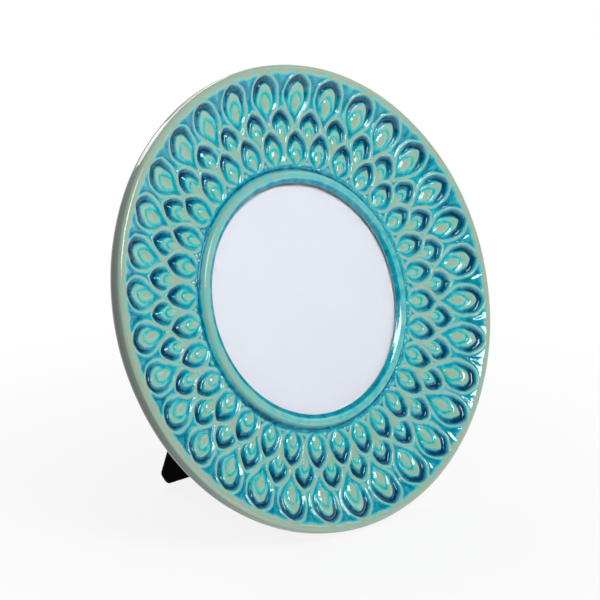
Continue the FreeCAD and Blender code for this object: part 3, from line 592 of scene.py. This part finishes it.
def eased(low, high, value):
    """0 at low and 1 at high, level at both; low may be the larger one."""
    share = np.clip((value - low) / (high - low), 0.0, 1.0)
    return share * share * (3.0 - 2.0 * share)


def bell(value, centre, width):
    return np.exp(-((value - centre) / width) ** 2)


def rounding(count):
    """Shares of a quarter turn, and how far it then is in from each side of a corner."""
    for share in np.linspace(0.0, 1.0, count):
        turn = share * math.pi / 2
        yield share, 1 - math.sin(turn), 1 - math.cos(turn)


def domed(share):
    """Steep at 0 and level from 1 on, like a drop of glaze."""
    return 1.0 - (1.0 - np.clip(share, 0.0, 1.0)) ** 2


# Glazed ring

def flowing_line(points, steps=4):
    """A smooth line through the points, several steps to each run."""
    given = np.array(points, dtype=float)
    padded = np.vstack((2 * given[0] - given[1], given, 2 * given[-1] - given[-2]))
    made = []
    for before, start, end, after in zip(padded, padded[1:], padded[2:], padded[3:]):
        for share in np.arange(steps) / steps:
            made.append(0.5 * (
                2 * start + (end - before) * share
                + (2 * before - 5 * start + 4 * end - after) * share ** 2
                + (3 * start - before - 3 * end + after) * share ** 3))
    made.append(given[-1])
    return np.array(made)


def depth_inside(outline, radius, offset):
    """Signed distance in from an outline that is alike on both sides."""
    line = flowing_line(outline)
    line[:, 1] = np.maximum(line[:, 1], 0.0)
    start, end = line[:-1], line[1:]
    run = end - start
    point = np.stack((radius, offset), axis=-1)[..., None, :]
    share = ((point - start) * run).sum(-1) / (run ** 2).sum(-1)
    near = start + np.clip(share, 0.0, 1.0)[..., None] * run
    distance = np.sqrt(((point - near) ** 2).sum(-1)).min(-1)
    half_width = np.interp(radius, line[::-1, 0], line[::-1, 1], left=-1.0, right=-1.0)
    return np.where(offset < half_width, distance, -distance)


def carve_petal(row, radius, offset):
    """Height of one petal, how far each point lies inside its hollow, and its leaf."""
    offset = np.abs(offset)
    top, tip = row["hollow"][0][0], row["hollow"][-1][0]
    shallow, deep = row["depths"]

    # The hollow is deepest along its wall, and a low ridge runs round it.
    inside = depth_inside(row["hollow"], radius, offset)
    floor = shallow + (deep - shallow) * eased(tip + 0.35 * (top - tip), top - 1.0, radius)
    risen_middle = 1.0 - 0.45 * eased(1.9, 3.4, inside)
    height = -floor * eased(-0.85, row["wall"], inside) * risen_middle
    height = height + 0.2 * bell(inside, -0.95, 0.5)

    # The leaf stands in the hollow and runs out into it towards the tip.
    on_leaf = depth_inside(row["leaf"], radius, offset)
    fade = eased(*row["leaf_fade"], radius)
    leaf_top = -0.3 + 0.3 * domed((on_leaf + 0.5) / 1.6)
    leaf_share = eased(-0.95, 0.15, on_leaf) * (0.35 + 0.65 * fade)
    height = height + (leaf_top - height) * leaf_share

    # The drop lies on the leaf, inside a groove of its own.
    on_drop = depth_inside(row["drop"], radius, offset)
    groove = 0.5 * bell(on_drop, -0.65, 0.75) * (0.25 + 0.75 * fade)
    height = height - groove * eased(-0.2, 0.7, on_leaf)
    drop_top = -0.3 + 0.5 * domed(on_drop / 1.8)
    height = height + (drop_top - height) * eased(-0.35, 0.35, on_drop)
    return height, inside, eased(-1.2, 0.4, on_leaf)


def hand_waver_fields(radii, angles):
    """How far a hand-held tool wandered off its line, along and across it."""
    across, up = radii[:, None] * np.sin(angles), radii[:, None] * np.cos(angles)
    fields = []
    for turn in (0.4, 2.1):
        field = 0.0
        for step, (pitch, size) in enumerate(HAND_WAVERS):
            way = turn + step * 1.9
            along = across * math.cos(way) + up * math.sin(way)
            aside = up * math.cos(way) - across * math.sin(way)
            bent = 1.5 * np.sin(2 * math.pi / (pitch * 1.7) * aside)
            field = field + size * np.sin(2 * math.pi / pitch * along + bent)
        fields.append(field)
    return fields


def carve_rows(ring, radii, angles, pitch):
    """Height over the dish, share of leaf, and depth inside each row's hollows."""
    height = np.zeros((len(radii), len(angles)))
    leaves = np.zeros_like(height)
    inside_rows = []
    chance = np.random.default_rng(PETAL_SEED)
    waver_along, waver_across = hand_waver_fields(radii, angles)
    for row in PETAL_ROWS:
        inside_row = np.full_like(height, -9.0)
        top, tip = row["hollow"][0][0], row["hollow"][-1][0]
        middle_radius = (top + tip) / 2
        reached = np.nonzero((radii > tip - 3.0) & (radii < top + 3.5))[0]
        for petal in range(ring.petal_count):
            slip, stretch, widen, lean = chance.normal(0.0, 1.0, 4) * ring.unevenness
            centre = ring.start_angle + (petal + row["turn"]) * pitch + PETAL_SLIP * slip
            turn = (angles - centre + math.pi) % (2 * math.pi) - math.pi
            near = np.nonzero(np.abs(turn) < pitch * 0.62)[0]
            block = np.ix_(reached, near)
            radius = np.repeat(radii[reached][:, None], len(near), axis=1)
            from_middle = radius - middle_radius
            own_radius = middle_radius + from_middle / (1.0 + PETAL_STRETCH * stretch)
            own_offset = radius * turn[near][None, :] - PETAL_LEAN * lean * from_middle
            own_offset = own_offset / (1.0 + PETAL_WIDEN * widen)
            own_radius = own_radius + waver_along[block] * ring.unevenness
            own_offset = own_offset + waver_across[block] * ring.unevenness
            petal_height, inside, leaf = carve_petal(row, own_radius, own_offset)
            closer = (inside > inside_row[block]) & (np.abs(petal_height) > 0.004)
            height[block] = np.where(closer, petal_height, height[block])
            inside_row[block] = np.maximum(inside_row[block], inside)
            leaves[block] = np.maximum(leaves[block], leaf)
        inside_rows.append(inside_row)
    return height, leaves, inside_rows


def carve_spandrels(ring, radii, angles, pitch, height, inside_rows):
    """Grooves and tongues between the outer petals, and the last small hollows."""
    radius = radii[:, None]
    outer, second, inner = inside_rows
    offset = (angles - ring.start_angle) % pitch - pitch / 2
    across = np.abs(radius * offset[None, :])

    groove = eased(0.6, 2.0, -outer) * eased(85.0, 89.0, radius)
    groove = groove * (1.0 - eased(95.6, 100.0, radius)) * (1.0 - eased(-0.2, 0.4, second))
    tongue_width = np.interp(radius, (92.6, 94.2, 96.5, 99.6), (-0.5, 0.6, 1.5, 2.6))
    groove = groove * (1.0 - 0.9 * eased(-0.6, 0.6, tongue_width - across))
    height = height - 0.34 * groove

    between = eased(1.0, 1.9, -inner) * (1.0 - eased(60.3, 61.3, radius))
    bump = bell(across, 0.0, 0.8) * bell(radius, 58.9, 0.8)
    height = height - 0.75 * between * (1.0 - bump) * eased(56.6, 57.8, radius)
    return height, 0.4 * groove


def gather_glaze(radii, angles, height, groove_pool, valley, outside, field):
    """How thick the glaze lies on the front, from 0 to 1."""
    radius = radii[:, None]
    level = (0.06 + 0.06 * eased(0.9, 1.4, outside) + 0.14 * valley) * field
    pool = np.clip(-height / 1.45, 0.0, 1.0) + level
    pool = np.clip(np.maximum(pool, groove_pool), 0.0, 1.0)
    # The groove round the bead, deeper in glaze at the lower left.
    pool = np.maximum(pool, 0.85 * bell(radius, 56.8, 0.75))
    low_side = bell(np.degrees(angles)[None, :], 225.0, 26.0)
    by_bead = eased(59.6, 57.6, radius) * (radius > 56.0)
    pool = np.maximum(pool, (0.45 + 0.4 * low_side) * by_bead)
    # The bead: its inner slope, and its top, a little darker on the right.
    pool = np.maximum(pool, 0.6 * eased(52.9, 51.6, radius))
    right_side = 0.5 + 0.5 * np.cos(angles - math.radians(100.0))[None, :]
    return np.maximum(pool, (0.12 + 0.11 * right_side) * eased(56.0, 55.0, radius))


def ring_profile():
    """Rows as (radius, depth, how far on the wall and so how much painted shade, how bare), and how
    many face front.
    """
    dish = np.array(DISH_CURVE)
    radii = np.arange(OPENING_RADIUS, RIM_RADIUS - RIM_ROUND, ROW_STEP)
    fine = np.arange(OPENING_RADIUS - 1.5, RIM_RADIUS, 0.05)
    weights = bell(np.arange(-16, 17) * 0.05, 0.0, 0.3)
    curve = np.interp(fine, dish[:, 0], dish[:, 1])
    smooth = np.convolve(curve, weights / weights.sum(), "same")
    rows = [(radius, float(np.interp(radius, fine, smooth)), 0.0, 0.0) for radius in radii]
    # The wall share rises from the rim towards the back, deepening the wall's painted shade.
    for step, first, second in rounding(8):
        share = 0.75 * float(eased(0.35, 1.0, step))
        rows.append((RIM_RADIUS - RIM_ROUND * first, RIM_ROUND * second, share, 0.0))
    wall_end = RING_THICKNESS - BACK_ROUND
    for step in (0.25, 0.5, 0.75):
        depth = RIM_ROUND + (wall_end - RIM_ROUND) * step
        rows.append((RIM_RADIUS, depth, 0.75 + 0.2 * step, 0.0))
    for step, first, second in rounding(18):
        depth = RING_THICKNESS - BACK_ROUND * first
        rows.append((RIM_RADIUS - BACK_ROUND * second, depth, 0.95 + 0.05 * step, 0.0))
    for radius in np.linspace(RIM_RADIUS - BACK_ROUND, REBATE_RADIUS, 34)[1:]:
        rows.append((radius, RING_THICKNESS, 1.0, 1.0))
    for depth in np.linspace(RING_THICKNESS, LIP_DEPTH, 6)[1:]:
        rows.append((REBATE_RADIUS, depth, 1.0, 1.0))
    for radius in np.linspace(REBATE_RADIUS, OPENING_RADIUS, 6)[1:]:
        rows.append((radius, LIP_DEPTH, 0.3, 0.0))
    rows.append((OPENING_RADIUS, (LIP_DEPTH + rows[0][1]) / 2, 0.0, 0.0))
    return np.array(rows), len(radii)


def build_glazed_ring(ring):
    """The ceramic ring, with its carving in the mesh and its glaze in point layers."""
    profile, front_rows = ring_profile()
    rows = len(profile)
    columns = ring.petal_count * COLUMNS_PER_PETAL
    pitch = 2 * math.pi / ring.petal_count
    angles = np.arange(columns) * 2 * math.pi / columns
    radii = profile[:front_rows, 0]
    height, leaves, inside_rows = carve_rows(ring, radii, angles, pitch)
    height, groove_pool = carve_spandrels(ring, radii, angles, pitch, height, inside_rows)
    height[radii < 57.4] = 0.0
    height *= ring.carving

    # The ground between the petals sinks a little where it is wide.
    radius = radii[:, None]
    outside = -np.maximum.reduce(inside_rows)
    field = eased(59.5, 61.0, radius) * (1.0 - eased(96.5, 98.5, radius))
    valley = eased(0.8, 1.9, outside) * field
    height -= 0.2 * valley
    pool = gather_glaze(radii, angles, height, groove_pool, valley, outside, field)

    wander = sum(np.sin(angles * count + 1.7 * count) * size for count, size in RIM_WAVES)
    edge_share = eased(92.0, 101.0, profile[:, 0])[:, None]
    around = profile[:, 0][:, None] + (wander - 0.17)[None, :] * edge_share
    depth = np.repeat(profile[:, 1][:, None], columns, axis=1)
    depth[:front_rows] -= height
    depth[:front_rows] += 0.06 * wander[None, :] * eased(56.0, 70.0, radius)
    points = ring_points(around * np.sin(angles), around * np.cos(angles), depth)
    faces = grid_faces(rows, columns, round_rows=True)
    item = new_piece("glazed_ring", points, faces, glazed_material(ring), "frame")

    behind = (rows - front_rows, columns)
    wavy_edge = 0.8 * np.sin(angles * 7) + 0.5 * np.sin(angles * 13 + 1.0)
    glaze_end = eased(BARE_RADIUS, BARE_RADIUS - 1.0, profile[:, 0][:, None] + wavy_edge[None, :])
    layers = {
        "glaze_green": np.vstack((leaves, np.full(behind, 0.5))),
        "glaze_pool": np.vstack((pool, np.full(behind, 0.05))),
        "wall_and_shade": np.repeat(profile[:, 2][:, None], columns, axis=1),
        "bare_clay": profile[:, 3][:, None] * glaze_end,
    }
    for name, values in layers.items():
        layer = item.data.attributes.new(name, "FLOAT", "POINT")
        layer.data.foreach_set("value", values.astype(np.float32).ravel())
    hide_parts("ceramic_frame")


# Velvet

def pile_unevenness(points, size):
    """How far the pile stands out, in metres, the same on every run."""
    waves = np.zeros(len(points))
    for share, direction in (
            (1.0, (310, 170, 240)), (0.6, (520, -430, 380)), (0.4, (-900, 760, 820))):
        waves += share * np.sin(points @ np.array(direction, dtype=float))
    return np.abs(waves * size * MM / 2.0)


def build_velvet_back(material):
    """Velvet drawn over the round back board and down its edge."""
    flat_radius = BACKING_RADIUS - VELVET_EDGE_ROUND
    flat_depth = BACK_DEPTH - VELVET_EDGE_ROUND
    profile = [(radius, BACK_DEPTH) for radius in np.linspace(0.4, flat_radius, 54)]
    for _, first, second in list(rounding(7))[1:]:
        profile.append((
            BACKING_RADIUS - VELVET_EDGE_ROUND * first, BACK_DEPTH - VELVET_EDGE_ROUND * second))
    for depth in np.linspace(flat_depth, BOARD_FRONT_DEPTH + 0.1, 5)[1:]:
        profile.append((BACKING_RADIUS, depth))
    profile = np.array(profile)
    columns = 256
    angles = np.arange(columns) * 2 * math.pi / columns
    points = ring_points(
        profile[:, :1] * np.sin(angles), profile[:, :1] * np.cos(angles),
        np.repeat(profile[:, 1:], columns, axis=1))
    points += pile_unevenness(points, 0.08)[:, None] * np.array(RING_FRONT)
    faces = grid_faces(len(profile), columns)
    item = new_piece("velvet_back", points, faces, material, "frame")
    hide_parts("backing_cloth")


def leg_half_width(up, low):
    """Half width of the leg, with its corners rounded."""
    fine = np.linspace(low - 4.0, LEG_TOP + 4.0, 1600)
    width = np.interp(
        fine, (low, low + LEG_KNEE_RISE, LEG_TOP),
        (LEG_FOOT_HALF_WIDTH, LEG_KNEE_HALF_WIDTH, LEG_TOP_HALF_WIDTH))
    weights = bell(np.linspace(-2.0, 2.0, 49), 0.0, 0.9)
    smooth = np.convolve(np.pad(width, 24, mode="edge"), weights / weights.sum(), "valid")
    half = np.interp(up, fine, smooth)
    for end, inset in ((LEG_TOP, 3.0), (low, 1.5)):
        short = np.clip(inset - np.abs(up - end), 0.0, inset)
        half = half - (inset - np.sqrt(np.maximum(inset ** 2 - short ** 2, 0.0)))
    return half


def build_velvet_leg(material):
    """Velvet drawn round the leg's board, with its foot standing level."""
    axis_to_floor = HINGE_CENTRE.z / MM / math.cos(LEG_TILT)
    low = LEG_OUTER * math.tan(LEG_TILT) - axis_to_floor
    thick = (LEG_INNER - LEG_OUTER) / 2
    centre = (LEG_INNER + LEG_OUTER) / 2

    # Rows from the foot to the top: their heights, and half of the thickness there.
    turns = np.linspace(0.0, math.pi / 2, 6)
    end_lifts = [0.0, *(LEG_EDGE_ROUND * (1 - np.cos(turns)))]
    end_bodies = [0.0, *(thick - LEG_EDGE_ROUND * (1 - np.sin(turns)))]
    middle_lifts = [*np.linspace(1.2, 10.0, 24), *np.linspace(11.0, LEG_TOP - low - 1.2, 90)]
    lifts = end_lifts + middle_lifts + [LEG_TOP - low - lift for lift in reversed(end_lifts)]
    bodies = np.array(end_bodies + [thick] * len(middle_lifts) + end_bodies[::-1])[:, None]
    up = low + np.array(lifts)[:, None]

    side = np.linspace(-1.0, 1.0, 29)
    half_turn = np.linspace(0.0, math.pi, 9)[1:-1]
    edge = LEG_EDGE_ROUND * np.sin(half_turn)
    section = np.concatenate((
        np.full(len(side), 1.0), np.cos(half_turn), np.full(len(side), -1.0), -np.cos(half_turn)))
    flat = leg_half_width(up, low) - LEG_EDGE_ROUND
    across = np.hstack((side * flat, flat + edge, -side * flat, -flat - edge))
    out = section * bodies
    points = leg_points(across, up, out + centre)
    sunk = pile_unevenness(points, 0.06)[:, None] * np.sign(out.reshape(-1, 1))
    points -= sunk * np.array(LEG_FRONT)
    points[:, 2] = np.maximum(points[:, 2], 0.00004)
    faces = grid_faces(len(up), len(section))
    item = new_piece("velvet_leg", points, faces, material, "leg")
    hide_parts("leg_cloth")


# Stay ribbon

def swung(point):
    """A point of the shut leg, along the board's directions, with the leg open."""
    cos, sin = math.cos(OPEN), math.sin(OPEN)
    return np.array((point[0] * cos - point[1] * sin, point[0] * sin + point[1] * cos))


def ribbon_path():
    """The ribbon's middle line, and where it starts and ends following the leg."""
    start, leg = np.array(RIBBON_BOARD), np.array(RIBBON_LEG)
    end = swung(leg)
    run = end - start
    chord = run / np.linalg.norm(run)
    outward = np.array((chord[1], -chord[0]))
    way = chord * math.cos(RIBBON_SLANT) + outward * math.sin(RIBBON_SLANT)
    reach = float(run @ way)
    start_angle = math.atan2(start[1], -start[0])
    end_angle = math.atan2(end[1], -end[0])
    tab = np.linspace(0.0, 1.0, 7)
    path = [start + np.array((RIBBON_TAB * (1 - share), 0.0)) for share in tab[:-1]]
    for share in np.linspace(0.0, 1.0, 49):
        angle = start_angle + (end_angle - start_angle) * share * share * (3 - 2 * share)
        ray = np.array((-math.cos(angle), math.sin(angle)))
        path.append(ray * (float(start @ way) + share * reach) / float(ray @ way))
    path += [swung(leg + np.array((-RIBBON_TAB * share, 0.0))) for share in tab[1:]]
    return np.array(path), start, start + way * reach


def build_stay_ribbon(material):
    """Ribbon from the back board to the open leg."""
    path, bend_start, bend_end = ribbon_path()
    tangent = np.gradient(path, axis=0)
    tangent /= np.linalg.norm(tangent, axis=1)[:, None]
    normal = np.stack((-tangent[:, 1], tangent[:, 0]), axis=-1)
    # Each row runs across the ribbon's upper side and back along its lower one.
    across = np.linspace(-RIBBON_WIDTH / 2, RIBBON_WIDTH / 2, RIBBON_COLUMNS)
    across = np.concatenate((across, across[::-1]))
    lift = np.repeat((1.0, -1.0), RIBBON_COLUMNS)[:, None] * RIBBON_THICKNESS * 0.35
    line = path[:, None] + normal[:, None] * lift
    points = hinge_points(across, line[..., 0], line[..., 1])
    loop = len(across)
    cap = np.array([(n, n + 1, loop - 2 - n, loop - 1 - n) for n in range(RIBBON_COLUMNS - 1)])
    faces = np.vstack((grid_faces(len(path), loop), cap[:, ::-1], cap + loop * (len(path) - 1)))
    item = new_piece("black_stay_ribbon", points, faces, material, None)

    layer = item.data.uv_layers.new(name="along")
    steps = np.linalg.norm(np.diff(path, axis=0), axis=1)
    walked = np.concatenate(((0.0,), np.cumsum(steps))) / RIBBON_WIDTH
    index = np.zeros(len(item.data.loops), dtype=np.int32)
    item.data.loops.foreach_get("vertex_index", index)
    uv = np.column_stack((walked[index // loop], across[index % loop] / RIBBON_WIDTH))
    layer.data.foreach_set("uv", uv.astype(np.float32).ravel())

    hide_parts("stay_ribbon")
    first, last = (hinge_points(0.0, p[0], p[1])[0] for p in (bend_start, bend_end))
    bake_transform(item)


# Stage

def aim_at_ring(item, azimuth, elevation, distance):
    """Puts the item where it looks at the ring's middle."""
    away = Vector((
        math.sin(azimuth) * math.cos(elevation), -math.cos(azimuth) * math.cos(elevation),
        math.sin(elevation)))
    item.location = RING_CENTRE + away * distance
    item.rotation_mode = "QUATERNION"
    item.rotation_quaternion = away.to_track_quat("Z", "Y")
    bpy.context.scene.collection.objects.link(item)


def add_soft_light(name, azimuth, elevation, distance, size, power):
    """An area lamp, with its angles in degrees and its two sizes in metres."""
    lamp = bpy.data.lights.new(name, "AREA")
    lamp.shape = "RECTANGLE"
    lamp.size, lamp.size_y = size
    lamp.energy = power
    item = bpy.data.objects.new(name, lamp)
    aim_at_ring(item, math.radians(azimuth), math.radians(elevation), distance)


def build_camera(stage):
    camera = bpy.data.cameras.new("photo_camera")
    camera.sensor_width = 36.0
    camera.lens = stage.lens
    camera.shift_x, camera.shift_y = -0.0266, -0.0062
    camera.clip_start, camera.clip_end = 0.05, 20.0
    item = bpy.data.objects.new("photo_camera", camera)
    aim_at_ring(item, stage.azimuth, stage.elevation, stage.distance)
    bpy.context.scene.camera = item


def build_floor(stage):
    """A plain pale floor that keeps the shadow and runs out into white."""
    def linked(tree):
        speck = ranged(tree, noise(tree, 60.0, 3.0), 0.3, 0.7, 0.97, 1.0)
        return {"Base Color": mixed(tree, speck, (0.0, 0.0, 0.0, 1.0), opaque(stage.floor))}

    def wrapped(tree, matt):
        # White only for rays from the camera, from gloss and through glass.
        path = add_node(tree, "ShaderNodeLightPath").outputs
        seen = larger(tree, path["Is Camera Ray"], path["Is Glossy Ray"])
        seen = larger(tree, seen, path["Is Transmission Ray"])
        away = add_node(tree, "ShaderNodeVectorMath", {0: object_point(tree)}, operation="LENGTH")
        whiteness = ranged(tree, away.outputs["Value"], 0.08, 0.26, 0.87, 1.0)
        white = add_node(tree, "ShaderNodeEmission", {
            "Color": WHITE, "Strength": 1.0}).outputs["Emission"]
        return add_node(tree, "ShaderNodeMixShader", {
            0: product(tree, whiteness, seen), 1: matt, 2: white}).outputs["Shader"]

    material = new_material("pale_floor", {"Roughness": 0.9}, linked, wrapped)
    mesh = bpy.data.meshes.new("pale_floor")
    reach = 4.0
    corners = [(-reach, -reach, 0), (reach, -reach, 0), (reach, reach, 0), (-reach, reach, 0)]
    mesh.from_pydata(corners, [], [(0, 1, 2, 3)])
    mesh.materials.append(material)
    floor = bpy.data.objects.new("pale_floor", mesh)
    bpy.context.scene.collection.objects.link(floor)


def build_world(stage):
    """White wherever it is seen behind the frame, and plain light elsewhere."""
    world = bpy.data.worlds.new("studio")
    bpy.context.scene.world = world
    world.use_nodes = True
    tree = world.node_tree
    tree.nodes.clear()
    path = add_node(tree, "ShaderNodeLightPath").outputs
    direction = add_node(tree, "ShaderNodeTexCoord").outputs["Generated"]
    back = add_node(tree, "ShaderNodeSeparateXYZ", {"Vector": direction}).outputs["Y"]
    backdrop = ranged(tree, back, -0.05, 0.35, 0.03, 1.0)
    indirect = larger(tree, path["Is Glossy Ray"], path["Is Transmission Ray"])
    shown = larger(tree, path["Is Camera Ray"], product(tree, indirect, backdrop))
    lit = product(tree, path["Is Diffuse Ray"], stage.room_light)
    background = add_node(tree, "ShaderNodeBackground", {
        "Color": WHITE, "Strength": larger(tree, shown, lit)})
    add_node(tree, "ShaderNodeOutputWorld", {"Surface": background.outputs["Background"]})


def build_stage(stage):
    build_camera(stage)
    build_floor(stage)
    build_world(stage)
    add_soft_light("key_light", -4.0, 42.0, 1.2, (0.4, 0.4), stage.key_light)
    add_soft_light("side_light", 55.0, 30.0, 1.5, (0.35, 0.5), stage.key_light * 0.15)
    add_soft_light("back_light", 165.0, 30.0, 1.4, (0.8, 0.8), stage.key_light)
    bpy.context.scene.view_settings.view_transform = "Standard"


# Operators, one for each piece or group of like pieces

class RoundFrameOperator:
    bl_options = {"REGISTER"}

    def execute(self, context):
        self.build(context.scene.round_frame)
        return {"FINISHED"}


class ROUNDFRAME_OT_glazed_ring(RoundFrameOperator, bpy.types.Operator):
    """Carve and glaze the ceramic ring"""
    bl_idname = "round_frame.glazed_ring"
    bl_label = "Glazed ring"

    def build(self, settings):
        build_glazed_ring(settings.ring)


class ROUNDFRAME_OT_pane_and_print(RoundFrameOperator, bpy.types.Operator):
    """Finish the glass, the blank print and the packing card"""
    bl_idname = "round_frame.pane_and_print"
    bl_label = "Glass and print"

    def build(self, settings):
        back = settings.back
        finish_node("glass_pane", clear_glass_material())
        finish_node("photo_card", mottled_material(
            "blank_print", back.print_paper, 0.97, 1400.0, (0.44, 0.56), 0.00002))
        finish_node("spacer_card", mottled_material(
            "grey_card", back.grey_card, 0.75, 900.0, (0.84, 0.96), 0.0001))


class ROUNDFRAME_OT_boards(RoundFrameOperator, bpy.types.Operator):
    """Finish the ring that holds the back, and the boards under the velvet"""
    bl_idname = "round_frame.boards"
    bl_label = "Boards"

    def build(self, settings):
        back = settings.back
        finish_node("mount_ring", mottled_material(
            "painted_board", back.board_paint, 1.6, 900.0, (0.55, 0.75), 0.00015, back.hardboard))
        hardboard = mottled_material(
            "hardboard", back.hardboard, 0.6, 1100.0, (0.64, 0.76), 0.0002)
        finish_node("backing_board", hardboard)
        finish_node("leg_board", hardboard)


class ROUNDFRAME_OT_velvet(RoundFrameOperator, bpy.types.Operator):
    """Cover the back and the leg with velvet"""
    bl_idname = "round_frame.velvet"
    bl_label = "Velvet"

    def build(self, settings):
        material = velvet_material(settings.back)
        build_velvet_back(material)
        build_velvet_leg(material)


class ROUNDFRAME_OT_stay_ribbon(RoundFrameOperator, bpy.types.Operator):
    """Run the stay ribbon from the back to the leg"""
    bl_idname = "round_frame.stay_ribbon"
    bl_label = "Stay ribbon"

    def build(self, settings):
        build_stay_ribbon(ribbon_material(settings.back))


class ROUNDFRAME_OT_metalwork(RoundFrameOperator, bpy.types.Operator):
    """Plate the hinge, rivets, turn buttons, washers, screws and staples"""
    bl_idname = "round_frame.metalwork"
    bl_label = "Metalwork"

    def build(self, settings):
        plating = tuple(settings.back.plating)
        plated = plated_material("plated_steel", plating, 0.26)
        wire = plated_material("staple_wire", tuple(c * 0.85 for c in plating), 0.34)
        for node in ("button_washers", "button_screws", "board_leaf", "leg_leaf", "hinge_pin",
                     "board_rivets", "leg_rivets", "turn_button_1", "turn_button_2",
                     "turn_button_3", "turn_button_4"):
            finish_node(node, plated)
        for node in ("board_staple", "leg_staple"):
            finish_node(node, wire)


class ROUNDFRAME_OT_stage(RoundFrameOperator, bpy.types.Operator):
    """Set up the camera, the pale floor and the soft light"""
    bl_idname = "round_frame.stage"
    bl_label = "Stage"

    def build(self, settings):
        build_stage(settings.stage)


OPERATORS = (
    ROUNDFRAME_OT_glazed_ring, ROUNDFRAME_OT_pane_and_print, ROUNDFRAME_OT_boards,
    ROUNDFRAME_OT_velvet, ROUNDFRAME_OT_stay_ribbon, ROUNDFRAME_OT_metalwork, ROUNDFRAME_OT_stage,
)


class ROUNDFRAME_PT_panel(bpy.types.Panel):
    """Lists the frame's settings and the steps that build it"""
    bl_idname = "ROUNDFRAME_PT_panel"
    bl_label = "Round Photo Frame"
    bl_space_type = "VIEW_3D"
    bl_region_type = "UI"
    bl_category = "Photo Frame"

    def draw(self, context):
        settings = context.scene.round_frame
        for group in (settings.ring, settings.back, settings.stage):
            box = self.layout.box()
            for name in group.__annotations__:
                box.prop(group, name)
        for operator in OPERATORS:
            self.layout.operator(operator.bl_idname)


CLASSES = (
    RoundFrameRing, RoundFrameBack, RoundFrameStage, RoundFrameSettings, *OPERATORS,
    ROUNDFRAME_PT_panel)


def register():
    for each in CLASSES:
        bpy.utils.register_class(each)
    bpy.types.Scene.round_frame = bpy.props.PointerProperty(
        name="Round photo frame", description="Settings of the round photo frame",
        type=RoundFrameSettings)


def unregister():
    del bpy.types.Scene.round_frame
    for each in reversed(CLASSES):
        bpy.utils.unregister_class(each)


def main():
    register()
    bpy.ops.round_frame.glazed_ring()
    bpy.ops.round_frame.pane_and_print()
    bpy.ops.round_frame.boards()
    bpy.ops.round_frame.velvet()
    bpy.ops.round_frame.stay_ribbon()
    bpy.ops.round_frame.metalwork()
    bpy.ops.round_frame.stage()


if __name__ == "__main__":
    main()
